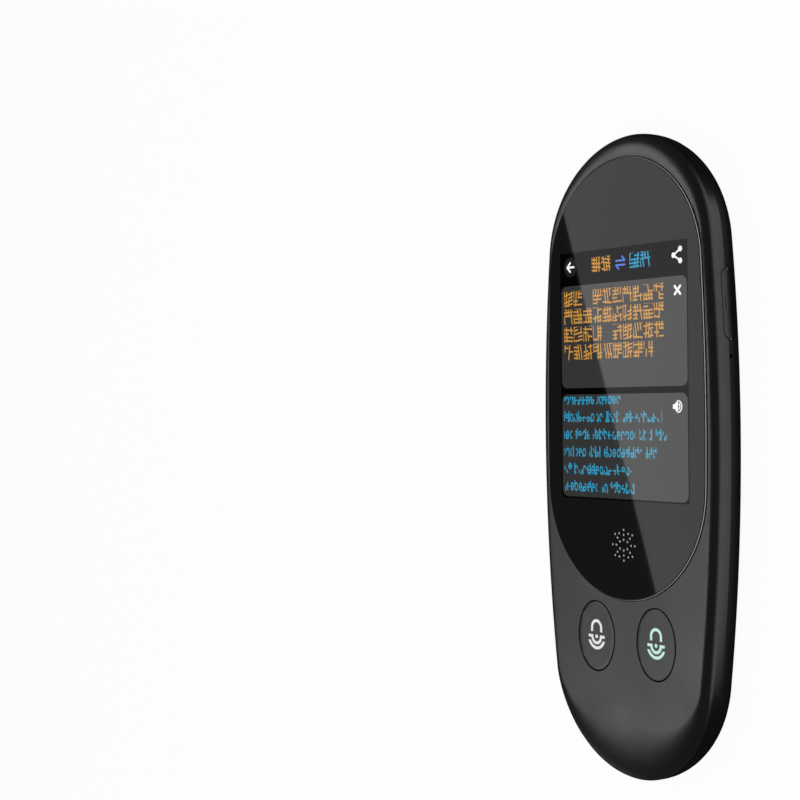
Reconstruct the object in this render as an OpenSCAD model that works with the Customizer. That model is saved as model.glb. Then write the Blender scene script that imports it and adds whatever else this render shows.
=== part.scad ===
// Handheld translator: a slim oval body that lies on its back, front face up.
// The origin is on the back, under the middle of the body. +Y points to the top end, +Z out of the front.

/* [Body] */
// Length of the body from the top end to the chin
body_l = 146.8; // [142:0.2:156]
// Width of the body at its widest
body_w = 58.8; // [57:0.2:64]
// Distance of the widest line above the middle
widest_y = 5.5; // [2:0.5:9]
// How much smaller than half the width the top end's radius is
top_taper = 2; // [1:0.1:3]
// How much smaller than half the width the chin's radius is
chin_taper = 3.4; // [2:0.1:5]
// Height of the seam between the shells above the circuit boards
seam_rise = 0.2; // [0.1:0.05:0.4]
// Side wall of both shells
wall = 1.4; // [1.2:0.1:1.6]
// Floor of the rear cover
floor_t = 1.3; // [1.1:0.1:1.4]
// Front wall of the housing
front_t = 1.8; // [1.5:0.1:1.9]

/* [Front edge] */
// Width of the edge rounding at the sides
side_round_w = 2; // [1.6:0.1:2.4]
// Depth of the edge rounding at the sides
side_round_d = 2; // [1.4:0.1:2.4]
// Width of the edge rounding at the top end
top_round_w = 5; // [3:0.1:5.2]
// Depth of the edge rounding at the top end
top_round_d = 3.6; // [2.4:0.1:3.8]
// Width of the long fall at the chin
chin_round_w = 17; // [12:0.5:20]
// Depth of the long fall at the chin
chin_round_d = 3.2; // [2:0.1:3.6]

/* [Cover glass] */
// Flat land between the side rounding and the glass
side_land = 0.8; // [0.6:0.1:1.6]
// Flat land between the top rounding and the glass
top_land = 0.5; // [0.4:0.1:2]
// Distance from the chin to the glass
glass_end = 40.8; // [39:0.2:46]
// Distance of the glass's widest line above the body's
glass_rise = 0.8; // [0:0.1:2]
// How much smaller than half the glass's width its top radius is
glass_top_taper = 1.1; // [0.8:0.1:1.6]
// How much smaller than half the glass's width its lower radius is
glass_low_taper = 0.2; // [0.15:0.05:0.6]
// Thickness of the glass
glass_t = 1.1; // [1:0.1:1.2]
// Height of the glass above the front face
glass_proud = 0.4; // [0.2:0.05:0.5]
// Gap around the glass
glass_gap = 0.15; // [0.1:0.05:0.25]
// Thickness of the adhesive under the glass
adhesive_t = 0.2; // [0.1:0.05:0.3]

/* [Display] */
// Distance from the glass's sides to the lit area
display_side = 5; // [4.8:0.1:6]
// Distance from the glass's top to the lit area
display_drop = 20.25; // [19:0.05:24]
// Distance from the glass's lower edge to the lit area
display_rise = 22.65; // [20.4:0.05:25]
// Dark rim around the lit area
display_rim = 1.5; // [1.2:0.1:1.6]
// Dark foot below the lit area
display_foot = 3.1; // [2.4:0.1:3.2]
// Thickness of the display panel
lcd_t = 1.1; // [0.9:0.1:1.3]
// Thickness of the backlight
backlight_t = 1.1; // [0.9:0.1:1.2]
// Thickness of the foam under the backlight
foam_t = 0.2; // [0.1:0.05:0.3]
// Thickness of the chassis plate
chassis_t = 0.5; // [0.4:0.1:0.6]

/* [Speaker] */
// Gap between the display and the speaker
speaker_gap = 0.5; // [0.4:0.1:1.5]
// Diameter of one sound hole
sound_hole_d = 0.6; // [0.4:0.05:0.8]
// Width of the speaker
speaker_w = 18; // [14:0.5:18.5]
// Length of the speaker
speaker_l = 13; // [11:0.1:13.2]
// Diameter of the mesh disc behind the sound holes
mesh_d = 10; // [9.2:0.2:11]

/* [Talk buttons] */
// Distance from the glass's lower edge to the middle of the buttons
button_drop = 9; // [8.9:0.1:10]
// Distance of each button from the middle line
button_x = 10.05; // [9:0.05:11]
// Width of a button
button_w = 12.4; // [11:0.1:13]
// Height of a button
button_h = 15.9; // [14:0.1:16]
// How much smaller than half the width the radius of a button's ends is
button_taper = 0.9; // [0.6:0.1:1.4]
// Gap around a button
button_gap = 0.15; // [0.1:0.05:0.25]
// Travel of a button
button_travel = 0.4; // [0.2:0.05:0.4]
// Height of the microphone icon on a button
icon_h = 7; // [5:0.1:8]
// Distance of the icon's middle above the button's
icon_rise = 0.3; // [0:0.1:1]

/* [Side door] */
// Distance from the top end to the middle of the door
door_drop = 40.1; // [37:0.1:44]
// Length of the card door
door_l = 15; // [14:0.1:17]
// Width of the card door
door_w = 3.5; // [3.2:0.1:3.7]
// Thickness of the card door
door_t = 0.9; // [0.8:0.05:1]
// Gap around the card door
door_gap = 0.15; // [0.12:0.01:0.25]
// Distance of the door and keys below the seam
side_drop = 0.4; // [0.2:0.05:0.5]
// Radius of the door's hinge pin
pin_r = 0.25; // [0.2:0.05:0.3]
// Width of the card
card_w = 11; // [9:0.1:12]
// Thickness of the card slot
slot_t = 0.8; // [0.7:0.05:0.9]

/* [Keys and reset] */
// Distance from the middle of the door to the reset hole
reset_gap = 11.3; // [10.8:0.1:13]
// Radius of the reset hole
reset_r = 0.5; // [0.4:0.05:0.6]
// Distance from the top end to the middle of the volume-up key
volume_drop = 35.4; // [32:0.1:38]
// Distance between the two volume keys
key_pitch = 12; // [11:0.1:14]
// Distance from the volume-down key to the power key
power_gap = 18; // [14:0.1:22]
// Length of a side key
key_l = 9; // [7:0.5:10]
// Width of a side key
key_w = 2.4; // [2:0.1:2.6]
// Travel of a side key
key_travel = 0.3; // [0.2:0.05:0.3]

/* [Inside] */
// Thickness of the circuit boards
board_t = 0.8; // [0.6:0.1:1]
// Height of the shield cans
can_h = 1.1; // [0.9:0.1:1.2]
// Distance from the battery's side to the middle of the boards' screws
battery_side = 3.5; // [3:0.1:5.5]
// Distance from the top end to the battery
battery_end = 43.4; // [40:0.1:56]
// Thickness of the battery
battery_t = 4.1; // [3.6:0.1:5]
// Room above the battery, for its swelling
battery_gap = 0.25; // [0.2:0.05:0.6]
// Thickness of the tape under the battery
tape_t = 0.15; // [0.1:0.05:0.2]
// Radius of the screws' shanks
screw_r = 0.8; // [0.7:0.05:0.9]
// Width of the charging socket
usb_w = 8.94; // [8.6:0.02:9.4]
// Height of the charging socket
usb_h = 3.26; // [3:0.02:3.4]
// Length of the charging socket
usb_l = 7.3; // [6.8:0.1:8]

/* [Hidden] */
$fn = 48;

shell_color = "#1c1c1e";
steel_color = "#9a9c9f";
board_color = "#16482c";
flex_color = "#b0702c";
black_part_color = "#121214";

eps = 0.01;
fit_gap = 0.05;           // between a moving piece and what guides it
end_steps = 28;           // points along an end arc
side_steps = 3;           // points along a side arc
round_steps = 5;          // rows across a rounding

// Heights, from the back up
battery_z = floor_t + tape_t;
board_z = battery_z + battery_t + battery_gap;
board_top = board_z + board_t;
chassis_z = board_top + can_h;
foam_z = chassis_z + chassis_t;
backlight_z = foam_z + foam_t;
lcd_z = backlight_z + backlight_t;
glass_z = lcd_z + lcd_t;
ledge_z = glass_z - adhesive_t;
body_t = glass_z + glass_t - glass_proud;
ceiling_z = body_t - front_t;
seam_z = board_top + seam_rise;    // also the radius of the back's edge
side_z = seam_z - side_drop;

// An oval is [half width, widest y, top radius, its y, top side radius, low radius, its y, low side radius]
function side_radius(a, r, reach) = (pow(reach - r, 2) / (a - r) + a + r) / 2;
function oval(a, y0, top, top_taper, low, low_taper) =
    let (rt = a - top_taper, rb = a - low_taper)
    [a, y0, rt, top - rt, side_radius(a, rt, top - y0), rb, low + rb, side_radius(a, rb, y0 - low)];

// Point of an oval where its outward normal has the angle phi, moved inwards by inset
function oval_point(o, phi, inset) =
    let (up = sin(phi) >= 0,
         r = up ? o[2] : o[5],
         yc = up ? o[3] : o[6],
         big = up ? o[4] : o[7],
         side = cos(phi) < 0 ? -1 : 1,
         on_end = abs(sin(phi)) >= abs(yc - o[1]) / (big - r) - 1e-9)
    on_end ? [(r - inset) * cos(phi), yc + (r - inset) * sin(phi)]
           : [(big - inset) * cos(phi) - side * (big - o[0]), o[1] + (big - inset) * sin(phi)];

// Normal angles of an oval's points, close together on the end arcs and few on the sides
function oval_angles(o) =
    let (t = asin(abs(o[3] - o[1]) / (o[4] - o[2])),
         b = asin(abs(o[6] - o[1]) / (o[7] - o[5])))
    concat([for (i = [0:side_steps - 1]) t * i / side_steps],
           [for (i = [0:end_steps - 1]) t + (180 - 2 * t) * i / end_steps],
           [for (i = [0:side_steps - 1]) 180 - t + t * i / side_steps],
           [for (i = [0:side_steps - 1]) 180 + b * i / side_steps],
           [for (i = [0:end_steps - 1]) 180 + b + (180 - 2 * b) * i / end_steps],
           [for (i = [0:side_steps - 1]) 360 - b + b * i / side_steps]);

module oval_2d(o, inset = 0) {
    polygon([for (phi = oval_angles(o)) oval_point(o, phi, inset)]);
}

half_w = body_w / 2;
half_l = body_l / 2;
body_oval = oval(half_w, widest_y, half_l, top_taper, -half_l, chin_taper);

glass_half_w = half_w - side_round_w - side_land;
glass_top = half_l - top_round_w - top_land;
glass_low = glass_end - half_l;
glass_oval = oval(glass_half_w, widest_y + glass_rise, glass_top, glass_top_taper,
                  glass_low, glass_low_taper);

display_w = 2 * (glass_half_w - display_side);
display_top = glass_top - display_drop;
display_low = glass_low + display_rise;
module_w = display_w + 2 * display_rim;
module_top = display_top + display_rim;
module_low = display_low - display_foot;
speaker_y = module_low - speaker_gap - speaker_l / 2;
button_y = glass_low - button_drop;
button_oval = oval(button_w / 2, 0, button_h / 2, button_taper, -button_h / 2, button_taper);

// How a rounding's size turns from its value at the sides to those at the top end and the chin
function blend_round(phi, side, top, chin) =
    side + (top - side) * pow(max(0, sin(phi)), 2) + (chin - side) * pow(max(0, -sin(phi)), 2);

// Closed skin from rings of points, each ring higher than the one before
function ring_faces(n, m) =
    concat([[for (i = [0:n - 1]) i]],
           [[for (i = [0:n - 1]) m * n - 1 - i]],
           [for (k = [0:m - 2], i = [0:n - 1])
               [k * n + i, (k + 1) * n + i, (k + 1) * n + (i + 1) % n]],
           [for (k = [0:m - 2], i = [0:n - 1])
               [k * n + i, (k + 1) * n + (i + 1) % n, k * n + (i + 1) % n]]);

// Front half of the body from z0 up to top_z; widths and depths are [side, top, chin]
module front_form(inset, z0, top_z, widths, depths) {
    angles = oval_angles(body_oval);
    n = len(angles);
    rings = concat(
        [[for (phi = angles) let (p = oval_point(body_oval, phi, inset)) [p[0], p[1], z0]]],
        [for (k = [0:round_steps]) [for (phi = angles)
            let (turn = 90 * k / round_steps,
                 w = blend_round(phi, widths[0], widths[1], widths[2]),
                 d = blend_round(phi, depths[0], depths[1], depths[2]),
                 p = oval_point(body_oval, phi, inset + w * (1 - cos(turn))))
            [p[0], p[1], top_z - d * (1 - sin(turn))]]]);
    polyhedron([for (ring = rings) each ring], ring_faces(n, len(rings)), convexity = 4);
}

// Back half of the body from low_z up to z1, with a round edge of the given radius
module back_form(inset, low_z, z1, radius) {
    angles = oval_angles(body_oval);
    n = len(angles);
    rings = concat(
        [for (k = [0:round_steps]) [for (phi = angles)
            let (turn = 90 * k / round_steps,
                 p = oval_point(body_oval, phi, inset + radius * (1 - sin(turn))))
            [p[0], p[1], low_z + radius * (1 - cos(turn))]]],
        z1 > low_z + radius + eps ?
            [[for (phi = angles) let (p = oval_point(body_oval, phi, inset)) [p[0], p[1], z1]]] : []);
    polyhedron([for (ring = rings) each ring], ring_faces(n, len(rings)), convexity = 4);
}

// Puts its children on the side wall at height y: +X outwards, +Y along the wall, +Z up
module on_side(y, side = 1) {
    big = y >= widest_y ? body_oval[4] : body_oval[7];
    phi = asin((y - widest_y) / big);
    p = oval_point(body_oval, phi, 0);
    mirror([side < 0 ? 1 : 0, 0, 0]) translate([p[0], p[1], 0]) rotate([0, 0, phi]) children();
}

// Stadium across the X axis, middle at the side features' height, from depth x0 to x1
module side_slot(length, width, x0, x1) {
    translate([x0, 0, side_z]) rotate([90, 0, 90]) linear_extrude(x1 - x0) union() {
        square([length - width, width], center = true);
        for (s = [-1, 1]) translate([s * (length - width) / 2, 0]) circle(width / 2);
    }
}

// Round bar along the wall
module side_bar(radius, length, depth, z) {
    translate([-depth, length / 2, z]) rotate([90, 0, 0]) cylinder(r = radius, h = length);
}

// Skin of the side wall as a bar along the wall, which trims door and keys flush
module side_skin(length) {
    translate([0, length / 2, 0]) rotate([90, 0, 0]) linear_extrude(length) union() {
        translate([-seam_z, seam_z]) circle(seam_z, $fn = 96);
        translate([-seam_z, seam_z]) square([seam_z, body_t - seam_z - side_round_d]);
    }
}

// Places
door_y = half_l - door_drop;
reset_y = door_y - reset_gap;
volume_up_y = half_l - volume_drop;
volume_down_y = volume_up_y - key_pitch;
power_y = volume_down_y - power_gap;
frame_depth = wall + 1.4;          // local wall that carries the door and the keys
socket_depth = frame_depth + 0.3;
pin_rise = 1.4;                    // hinge pin above the door's lower edge
pin_z = side_z - door_w / 2 + pin_rise;
pin_depth = door_t / 2;
key_sink = 0.03;                   // keys sit this far under the surface
icon_depth = 0.3;
pin_seat = 1;
pin_l = door_l + 2 * pin_seat;
card_slot_w = card_w + 1.4;
slot_z = board_top + 0.15;
key_guide = 2.2;                   // depth of the keys' guide in the wall
flange_t = 0.5;
flange_lip = 0.6;
switch_depth = key_guide + fit_gap + flange_t + key_travel + 0.1;
switch_l = 3.4;
switch_w = 2.6;
switch_t = 1.6;
stem_r = 0.6;
end_inset = 3.2;                   // boards keep this far inside the outline
board_cut = speaker_y - 6;         // lower edge of the main board
lower_cut = board_cut - 2;         // upper edge of the lower board
post_drop = 16.4;                  // from the top end to the upper posts
post_rise = 13.4;                  // from the chin to the lower posts
boss_side = 8.9;                   // from the widest line to the bosses of the boards
top_post = [14, half_l - post_drop];
low_post = [12, post_rise - half_l];
mid_boss = [half_w - boss_side, speaker_y];
low_boss = [half_w - boss_side, lower_cut - 4.5];
post_r = 2.4;
boss_r = 2.2;
insert_r = screw_r + 0.5;
insert_h = 2.2;
head_r = 1.5;
head_t = 0.7;
head_sink = 0.25;
screw_clear = 0.15;
battery_w = 2 * (mid_boss[0] - battery_side);
usb_z = board_z - usb_h / 2;
usb_y = 1.7 - half_l;
mic_x = 9;
mic_r = 0.5;
mic_z = board_z - 1.6;
mouth_l = 12;
low_switch_h = 0.9;
low_switch_w = 6;
post_foot = board_top + low_switch_h + button_travel + 0.15;
plunger_r = 1.6;
plunger_h = 0.9;
flange_z = ceiling_z - fit_gap - 0.7;
battery_low = low_post[1] + 10;
battery_top = half_l - battery_end;
terrace_l = 2;                     // sealed end of the pouch
terrace_z = battery_z + 1.6;
tail_x = 7.6 - display_w / 2;      // ribbon of the display
tail_w = 6;
tail_l = 3.6;
link_x = half_w - 15.4;            // ribbon between the boards
link_w = 4;
lead_w = 4;                        // ribbon of the battery
ribbon_t = 0.1;
connector_h = 0.8;
connector_l = 2;
tail_z = board_top + connector_h;
connector_edge = 0.5;              // from a board's edge to its connector
rib_w = 1.2;                       // ribs beside the display, which carry the chassis plate
rib_l = 24;
rib_gap = 0.5;
foam_w = 4;
hole_r = 3;                        // holes that lighten the chassis plate
hole_pitch = 12;
can_wall = 0.3;
low_can = [6, half_l - 60.4, 18, 14];    // middle x and y, width and length of a shield can
high_can = [-8, half_l - 36.4, 22, 17];
chip_t = 0.7;
mic_w = 3.6;
mic_l = 2.7;
mic_h = 1;
motor_r = 4;
motor_h = 2.7;
antenna_w = 18;
antenna_l = 7.6;
socket_w = card_w + 3;
socket_l = 13;
socket_h = 1.05;
notch_r = 0.75;                    // fingernail notch of the card door
notch_l = 2.4;
cup_r = 4.4;                       // recess in the speaker's face
cup_depth = 0.6;
gasket_t = 0.3;
mesh_t = 0.25;
tongue_w = 6.4;
tongue_t = 0.7;
shell_t = 0.3;                     // sheet of the charging socket

module at_pairs(place) {
    for (s = [-1, 1]) translate([s * place[0], place[1], 0]) children();
}

module ring(outer, inner, height) {
    difference() {
        cylinder(r = outer, h = height);
        translate([0, 0, -1]) cylinder(r = inner, h = height + 2);
    }
}

module box(x0, x1, y0, y1, z0, z1) {
    translate([x0, y0, z0]) cube([x1 - x0, y1 - y0, z1 - z0]);
}

// Cuts that the side pieces need in both shells
module side_cuts() {
    on_side(door_y) {
        side_slot(door_l + 2 * door_gap, door_w + 2 * door_gap, -door_t - door_gap, 2);
        intersection() {
            side_bar(pin_rise + door_gap, door_l + 2 * door_gap, pin_depth, pin_z);
            box(-frame_depth, -pin_depth, -door_l, door_l, 0, body_t);
        }
        side_bar(pin_r + 0.02, pin_l, pin_depth, pin_z);
        box(-frame_depth - 1, 1 - door_t, -card_slot_w / 2, card_slot_w / 2, slot_z, slot_z + slot_t);
    }
    on_side(reset_y) translate([-6, 0, side_z]) rotate([0, 90, 0]) cylinder(r = reset_r, h = 8);
    for (y = [power_y, volume_down_y, volume_up_y]) on_side(y, -1) {
        side_slot(key_l + 2 * fit_gap, key_w + 2 * fit_gap, -key_guide - 0.2, 2);
        side_slot(key_l + 2 * flange_lip + 0.2, key_w + 2 * flange_lip + 0.2, -frame_depth - 1, -key_guide);
    }
}

// Thick places of the walls around the side pieces, between two heights
module side_frames(z0, z1) {
    on_side(door_y) box(-frame_depth, 0.2 - wall, -door_l / 2 - 2, door_l / 2 + 2, z0, z1);
    on_side(reset_y) box(-frame_depth, 0.2 - wall, -2, 2, z0, z1);
    for (y = [[power_y, power_y], [volume_down_y, volume_up_y]])
        let (reach = (y[1] - y[0] + key_l) / 2 + 1.3)
        on_side((y[0] + y[1]) / 2, -1) box(-frame_depth, 0.2 - wall, -reach, reach, z0, z1);
}

module sound_holes(radius, height) {
    inner = [[0, 1.21], [1.25, 0.8]];
    middle = [[2.5, 0], [2.1, 1.6], [0, 2.34]];
    outer = [[0, 3.46], [3.72, 0], [2.9, 2.4], [1.5, 2.65]];
    for (p = concat(inner, middle, outer), sx = p[0] == 0 ? [1] : [-1, 1], sy = p[1] == 0 ? [1] : [-1, 1])
        translate([sx * p[0], speaker_y + sy * p[1], 0]) cylinder(r = radius, h = height, $fn = 16);
}

module front_housing() {
    color(shell_color) difference() {
        union() {
            difference() {
                front_form(0, seam_z, body_t, [side_round_w, top_round_w, chin_round_w],
                           [side_round_d, top_round_d, chin_round_d]);
                difference() {
                    front_form(wall, seam_z - 1, ceiling_z,
                               [side_round_w - wall + 0.4, top_round_w - wall, chin_round_w - wall],
                               [1, top_round_d - 1.2, chin_round_d - 1.2]);
                    side_frames(seam_z - 2, body_t);
                }
            }
            for (place = [top_post, low_post]) at_pairs(place) translate([0, 0, board_top])
                cylinder(r = post_r, h = ceiling_z + 0.3 - board_top);
            for (place = [mid_boss, low_boss]) at_pairs(place) translate([0, 0, board_top])
                cylinder(r = boss_r, h = ceiling_z + 0.3 - board_top);
            at_pairs([(module_w + rib_w) / 2 + rib_gap, (module_top + module_low) / 2])
                box(-rib_w / 2, rib_w / 2, -rib_l / 2, rib_l / 2, foam_z, ceiling_z + 0.1);
        }
        translate([0, 0, ledge_z]) linear_extrude(5) oval_2d(glass_oval, -glass_gap);
        box(-module_w / 2 - 0.2, module_w / 2 + 0.2, module_low - 0.2, module_top + 0.2, foam_z, body_t);
        translate([0, speaker_y, ceiling_z - 1]) cylinder(r = mesh_d / 2 + 0.1, h = front_t + 2);
        at_pairs([button_x, button_y]) translate([0, 0, ceiling_z - 3]) linear_extrude(front_t + 6)
            oval_2d(button_oval, -button_gap);
        for (place = [top_post, low_post, mid_boss, low_boss]) at_pairs(place)
            translate([0, 0, board_top - 1]) cylinder(r = insert_r, h = insert_h + 1);
        side_cuts();
    }
}

module rear_cover() {
    color(shell_color) difference() {
        union() {
            difference() {
                back_form(0, 0, seam_z, seam_z);
                back_form(wall, floor_t, seam_z + 1, seam_z - floor_t);
            }
            intersection() {
                back_form(0.6, 0.4, seam_z, seam_z - 0.4);
                side_frames(side_z - door_w / 2 - 1, seam_z);
            }
            for (place = [top_post, low_post]) at_pairs(place) translate([0, 0, floor_t - 0.3])
                cylinder(r = post_r, h = board_z - floor_t + 0.3);
        }
        for (place = [top_post, low_post]) at_pairs(place) {
            translate([0, 0, -1]) cylinder(r = screw_r + screw_clear, h = 12);
            translate([0, 0, -1]) cylinder(r = head_r + screw_clear, h = 1 + head_sink + head_t);
        }
        translate([0, usb_y + usb_l + 0.2, usb_z]) rotate([90, 0, 0]) linear_extrude(mouth_l)
            usb_outline(-0.1);
        translate([mic_x, 4 - half_l, mic_z]) rotate([90, 0, 0]) cylinder(r = mic_r, h = 8);
        translate([0, half_l - 4, mic_z]) rotate([-90, 0, 0]) cylinder(r = mic_r, h = 8);
        side_cuts();
    }
}

module cover_glass() {
    color([0.06, 0.06, 0.07, 0.6]) difference() {
        translate([0, 0, glass_z]) linear_extrude(glass_t) oval_2d(glass_oval);
        translate([0, 0, glass_z - 1]) sound_holes(sound_hole_d / 2, glass_t + 2);
    }
}

module glass_adhesive() {
    color("dimgray") difference() {
        translate([0, 0, ledge_z]) linear_extrude(adhesive_t) oval_2d(glass_oval, 0.3);
        box(-module_w / 2 - 0.2, module_w / 2 + 0.2, module_low - 0.2, module_top + 0.2, 0, body_t + 1);
        translate([0, speaker_y, 0]) cylinder(r = mesh_d / 2 + 0.1, h = body_t + 1);
    }
}

module lcd_panel() {
    color("#202830") box(-module_w / 2, module_w / 2, module_low, module_top, lcd_z, glass_z);
}

module backlight() {
    color(steel_color) difference() {
        box(-module_w / 2, module_w / 2, module_low, module_top, backlight_z, lcd_z);
        box(-display_w / 2, display_w / 2, display_low, display_top, lcd_z - 0.2, lcd_z + 1);
    }
}

module display_foam() {
    color("#2a2a2c") difference() {
        box(-module_w / 2, module_w / 2, module_low, module_top, foam_z, backlight_z);
        box(foam_w - module_w / 2, module_w / 2 - foam_w, module_low + foam_w, module_top - foam_w,
            foam_z - 1, backlight_z + 1);
    }
}

module chassis_plate() {
    color(steel_color) difference() {
        translate([0, 0, chassis_z]) linear_extrude(chassis_t) intersection() {
            oval_2d(body_oval, end_inset + 1.4);
            translate([-half_w, module_low]) square([body_w, half_l]);
        }
        at_pairs(top_post) cylinder(r = post_r + 0.15, h = body_t);
        for (y = [0, hole_pitch]) translate([0, y, chassis_z - 1]) cylinder(r = hole_r, h = chassis_t + 2);
    }
}

module display_flex() {
    color(flex_color) union() {
        translate([tail_x - tail_w / 2, module_low - ribbon_t, tail_z])
            cube([tail_w, ribbon_t, lcd_z - 0.3 - tail_z]);
        translate([tail_x - tail_w / 2, module_low - tail_l, tail_z]) cube([tail_w, tail_l, ribbon_t]);
    }
}

// Generic microphone with two sound waves under it, top at y = 0, drawn 7 mm high
module mic_icon_2d() {
    line = 0.7;
    centre = -3.97;
    difference() {
        union() {
            translate([0, -1.95]) circle(1.95);
            translate([-1.95, -2.9]) square([3.9, 0.95]);
        }
        translate([0, -1.95]) circle(1.95 - line);
        translate([line - 1.95, -4]) square([3.9 - 2 * line, 2.05]);
        translate([-3, -5]) square([6, 2.1]);
    }
    translate([0, centre]) circle(0.45);
    translate([0, centre]) intersection() {
        difference() {
            circle(1.86);
            circle(1.86 - line);
        }
        translate([-2, -2]) square([4, 2]);
    }
    for (s = [-1, 1]) translate([s * 1.98, centre + 0.02]) square([1.64, line - 0.05], center = true);
    translate([0, centre]) intersection() {
        difference() {
            circle(3.03);
            circle(3.03 - line);
        }
        translate([-4, -4]) square([8, 3]);
    }
}

module icon_solid(height) {
    k = icon_h / 7;
    translate([0, icon_rise + icon_h / 2, body_t - icon_depth]) linear_extrude(height) scale([k, k])
        mic_icon_2d();
}

module talk_button(side) {
    translate([side * button_x, button_y, 0]) color(shell_color) difference() {
        union() {
            translate([0, 0, flange_z]) linear_extrude(body_t - flange_z) oval_2d(button_oval);
            translate([0, 0, flange_z]) linear_extrude(ceiling_z - fit_gap - flange_z)
                oval_2d(button_oval, -button_gap - 0.8);
            translate([0, 0, post_foot]) cylinder(r = 2.5, h = flange_z - post_foot + 0.1);
        }
        icon_solid(1);
    }
}

module talk_button_left() {
    talk_button(-1);
}

module talk_button_right() {
    talk_button(1);
}

module talk_icon_left() {
    color("white") translate([-button_x, button_y, 0]) icon_solid(icon_depth);
}

module talk_icon_right() {
    color("#bff5e6") translate([button_x, button_y, 0]) icon_solid(icon_depth);
}

module talk_plunger(side) {
    color("#d8d8d4") translate([side * button_x, button_y, post_foot - plunger_h])
        cylinder(r = plunger_r, h = plunger_h);
}

module talk_plunger_left() {
    talk_plunger(-1);
}

module talk_plunger_right() {
    talk_plunger(1);
}

module talk_switches() {
    color(black_part_color) at_pairs([button_x, button_y]) difference() {
        translate([-low_switch_w / 2, -low_switch_w / 2, board_top])
            cube([low_switch_w, low_switch_w, low_switch_h]);
        translate([0, 0, board_top + 0.1]) cylinder(r = plunger_r + fit_gap, h = 3);
    }
}

module lower_board() {
    color(board_color) difference() {
        translate([0, 0, board_z]) linear_extrude(board_t) intersection() {
            oval_2d(body_oval, end_inset);
            translate([-half_w, -half_l]) square([body_w, half_l + lower_cut]);
        }
        at_pairs(low_post) cylinder(r = screw_r + 0.1, h = body_t);
        at_pairs(low_boss) cylinder(r = screw_r + 0.1, h = body_t);
    }
}

module main_board() {
    color(board_color) difference() {
        translate([0, 0, board_z]) linear_extrude(board_t) intersection() {
            oval_2d(body_oval, end_inset);
            translate([-half_w, board_cut]) square([body_w, half_l - board_cut]);
        }
        box(-speaker_w / 2 - 0.3, speaker_w / 2 + 0.3, board_cut - 1, speaker_y + speaker_l / 2 + 0.3,
            0, body_t);
        at_pairs(top_post) cylinder(r = screw_r + 0.1, h = body_t);
        at_pairs(mid_boss) cylinder(r = screw_r + 0.1, h = body_t);
        for (y = [power_y, volume_down_y, volume_up_y]) on_side(y, -1) switch_room();
        on_side(reset_y) switch_room();
    }
}

module switch_room() {
    box(-switch_depth - switch_t - 0.1, 0, -switch_l / 2 - 0.1, switch_l / 2 + 0.1, 0, body_t);
}

module shield_cans() {
    color(steel_color) for (c = [high_can, low_can]) translate([c[0], c[1], board_top])
        let (w = c[2] / 2, l = c[3] / 2) difference() {
            box(-w, w, -l, l, 0, can_h);
            box(can_wall - w, w - can_wall, can_wall - l, l - can_wall, -1, can_h - can_wall);
        }
}

module chip(can, x, w, l) {
    translate([can[0] + x, can[1], board_top]) box(-w / 2, w / 2, -l / 2, l / 2, 0, chip_t);
}

module board_chips() {
    color(black_part_color) union() {
        chip(high_can, -3, 9, 9);
        chip(high_can, 6, 5, 7);
        chip(low_can, 0, 7, 7);
    }
}

module connector(x, y, w, z) {
    box(x - w / 2, x + w / 2, y, y + connector_l, z, z + connector_h);
}

module flex_connectors() {
    color(black_part_color) union() {
        connector(tail_x, module_low - tail_l, tail_w, board_top);
        connector(link_x, board_cut + connector_edge, link_w, board_top);
        connector(link_x, lower_cut - connector_edge - connector_l, link_w, board_top);
        connector(0, battery_top + 1, lead_w + 2, board_z - connector_h);
    }
}

module board_link_flex() {
    reach = connector_edge + connector_l;
    color(flex_color) box(link_x - link_w / 2, link_x + link_w / 2, lower_cut - reach, board_cut + reach,
                          tail_z, tail_z + ribbon_t);
}

module battery() {
    color("silver") union() {
        box(-battery_w / 2, battery_w / 2, battery_low, battery_top - terrace_l, battery_z,
            battery_z + battery_t);
        box(2 - battery_w / 2, battery_w / 2 - 2, battery_top - terrace_l - 1, battery_top,
            battery_z, terrace_z);
    }
}

module battery_tape() {
    color("dimgray") box(3 - battery_w / 2, battery_w / 2 - 3, battery_low + 3, battery_top - 5,
                         floor_t, battery_z);
}

module battery_lead() {
    lead_z = board_z - connector_h;
    color(flex_color) union() {
        box(-lead_w / 2, lead_w / 2, battery_top - 0.8, battery_top - 0.8 + ribbon_t, terrace_z, lead_z);
        box(-lead_w / 2, lead_w / 2, battery_top - 0.8, battery_top + 1 + connector_l,
            lead_z - ribbon_t, lead_z);
    }
}

module speaker() {
    color(black_part_color) difference() {
        box(-speaker_w / 2, speaker_w / 2, speaker_y - speaker_l / 2, speaker_y + speaker_l / 2,
            board_z, ceiling_z - gasket_t);
        translate([0, speaker_y, ceiling_z - gasket_t - cup_depth]) cylinder(r = cup_r, h = 2);
    }
}

module speaker_gasket() {
    color("dimgray") translate([0, speaker_y, ceiling_z - gasket_t])
        ring(mesh_d / 2 + 0.9, mesh_d / 2 - 0.5, gasket_t);
}

module speaker_mesh() {
    color("#c8c8c8") translate([0, speaker_y, glass_z - mesh_t]) cylinder(r = mesh_d / 2, h = mesh_t);
}

module usb_socket() {
    color(steel_color) translate([0, usb_y, usb_z]) rotate([-90, 0, 0]) linear_extrude(usb_l) difference() {
        usb_outline(0);
        usb_outline(shell_t);
    }
}

module usb_outline(inset) {
    square([usb_w - usb_h, usb_h - 2 * inset], center = true);
    for (s = [-1, 1]) translate([s * (usb_w - usb_h) / 2, 0]) circle(usb_h / 2 - inset);
}

module usb_tongue() {
    color(black_part_color) translate([0, usb_y, usb_z]) union() {
        box(-tongue_w / 2, tongue_w / 2, 1, usb_l - 1, -tongue_t / 2, tongue_t / 2);
        rotate([-90, 0, 0]) translate([0, 0, usb_l - 1]) linear_extrude(1) usb_outline(shell_t);
    }
}

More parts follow.
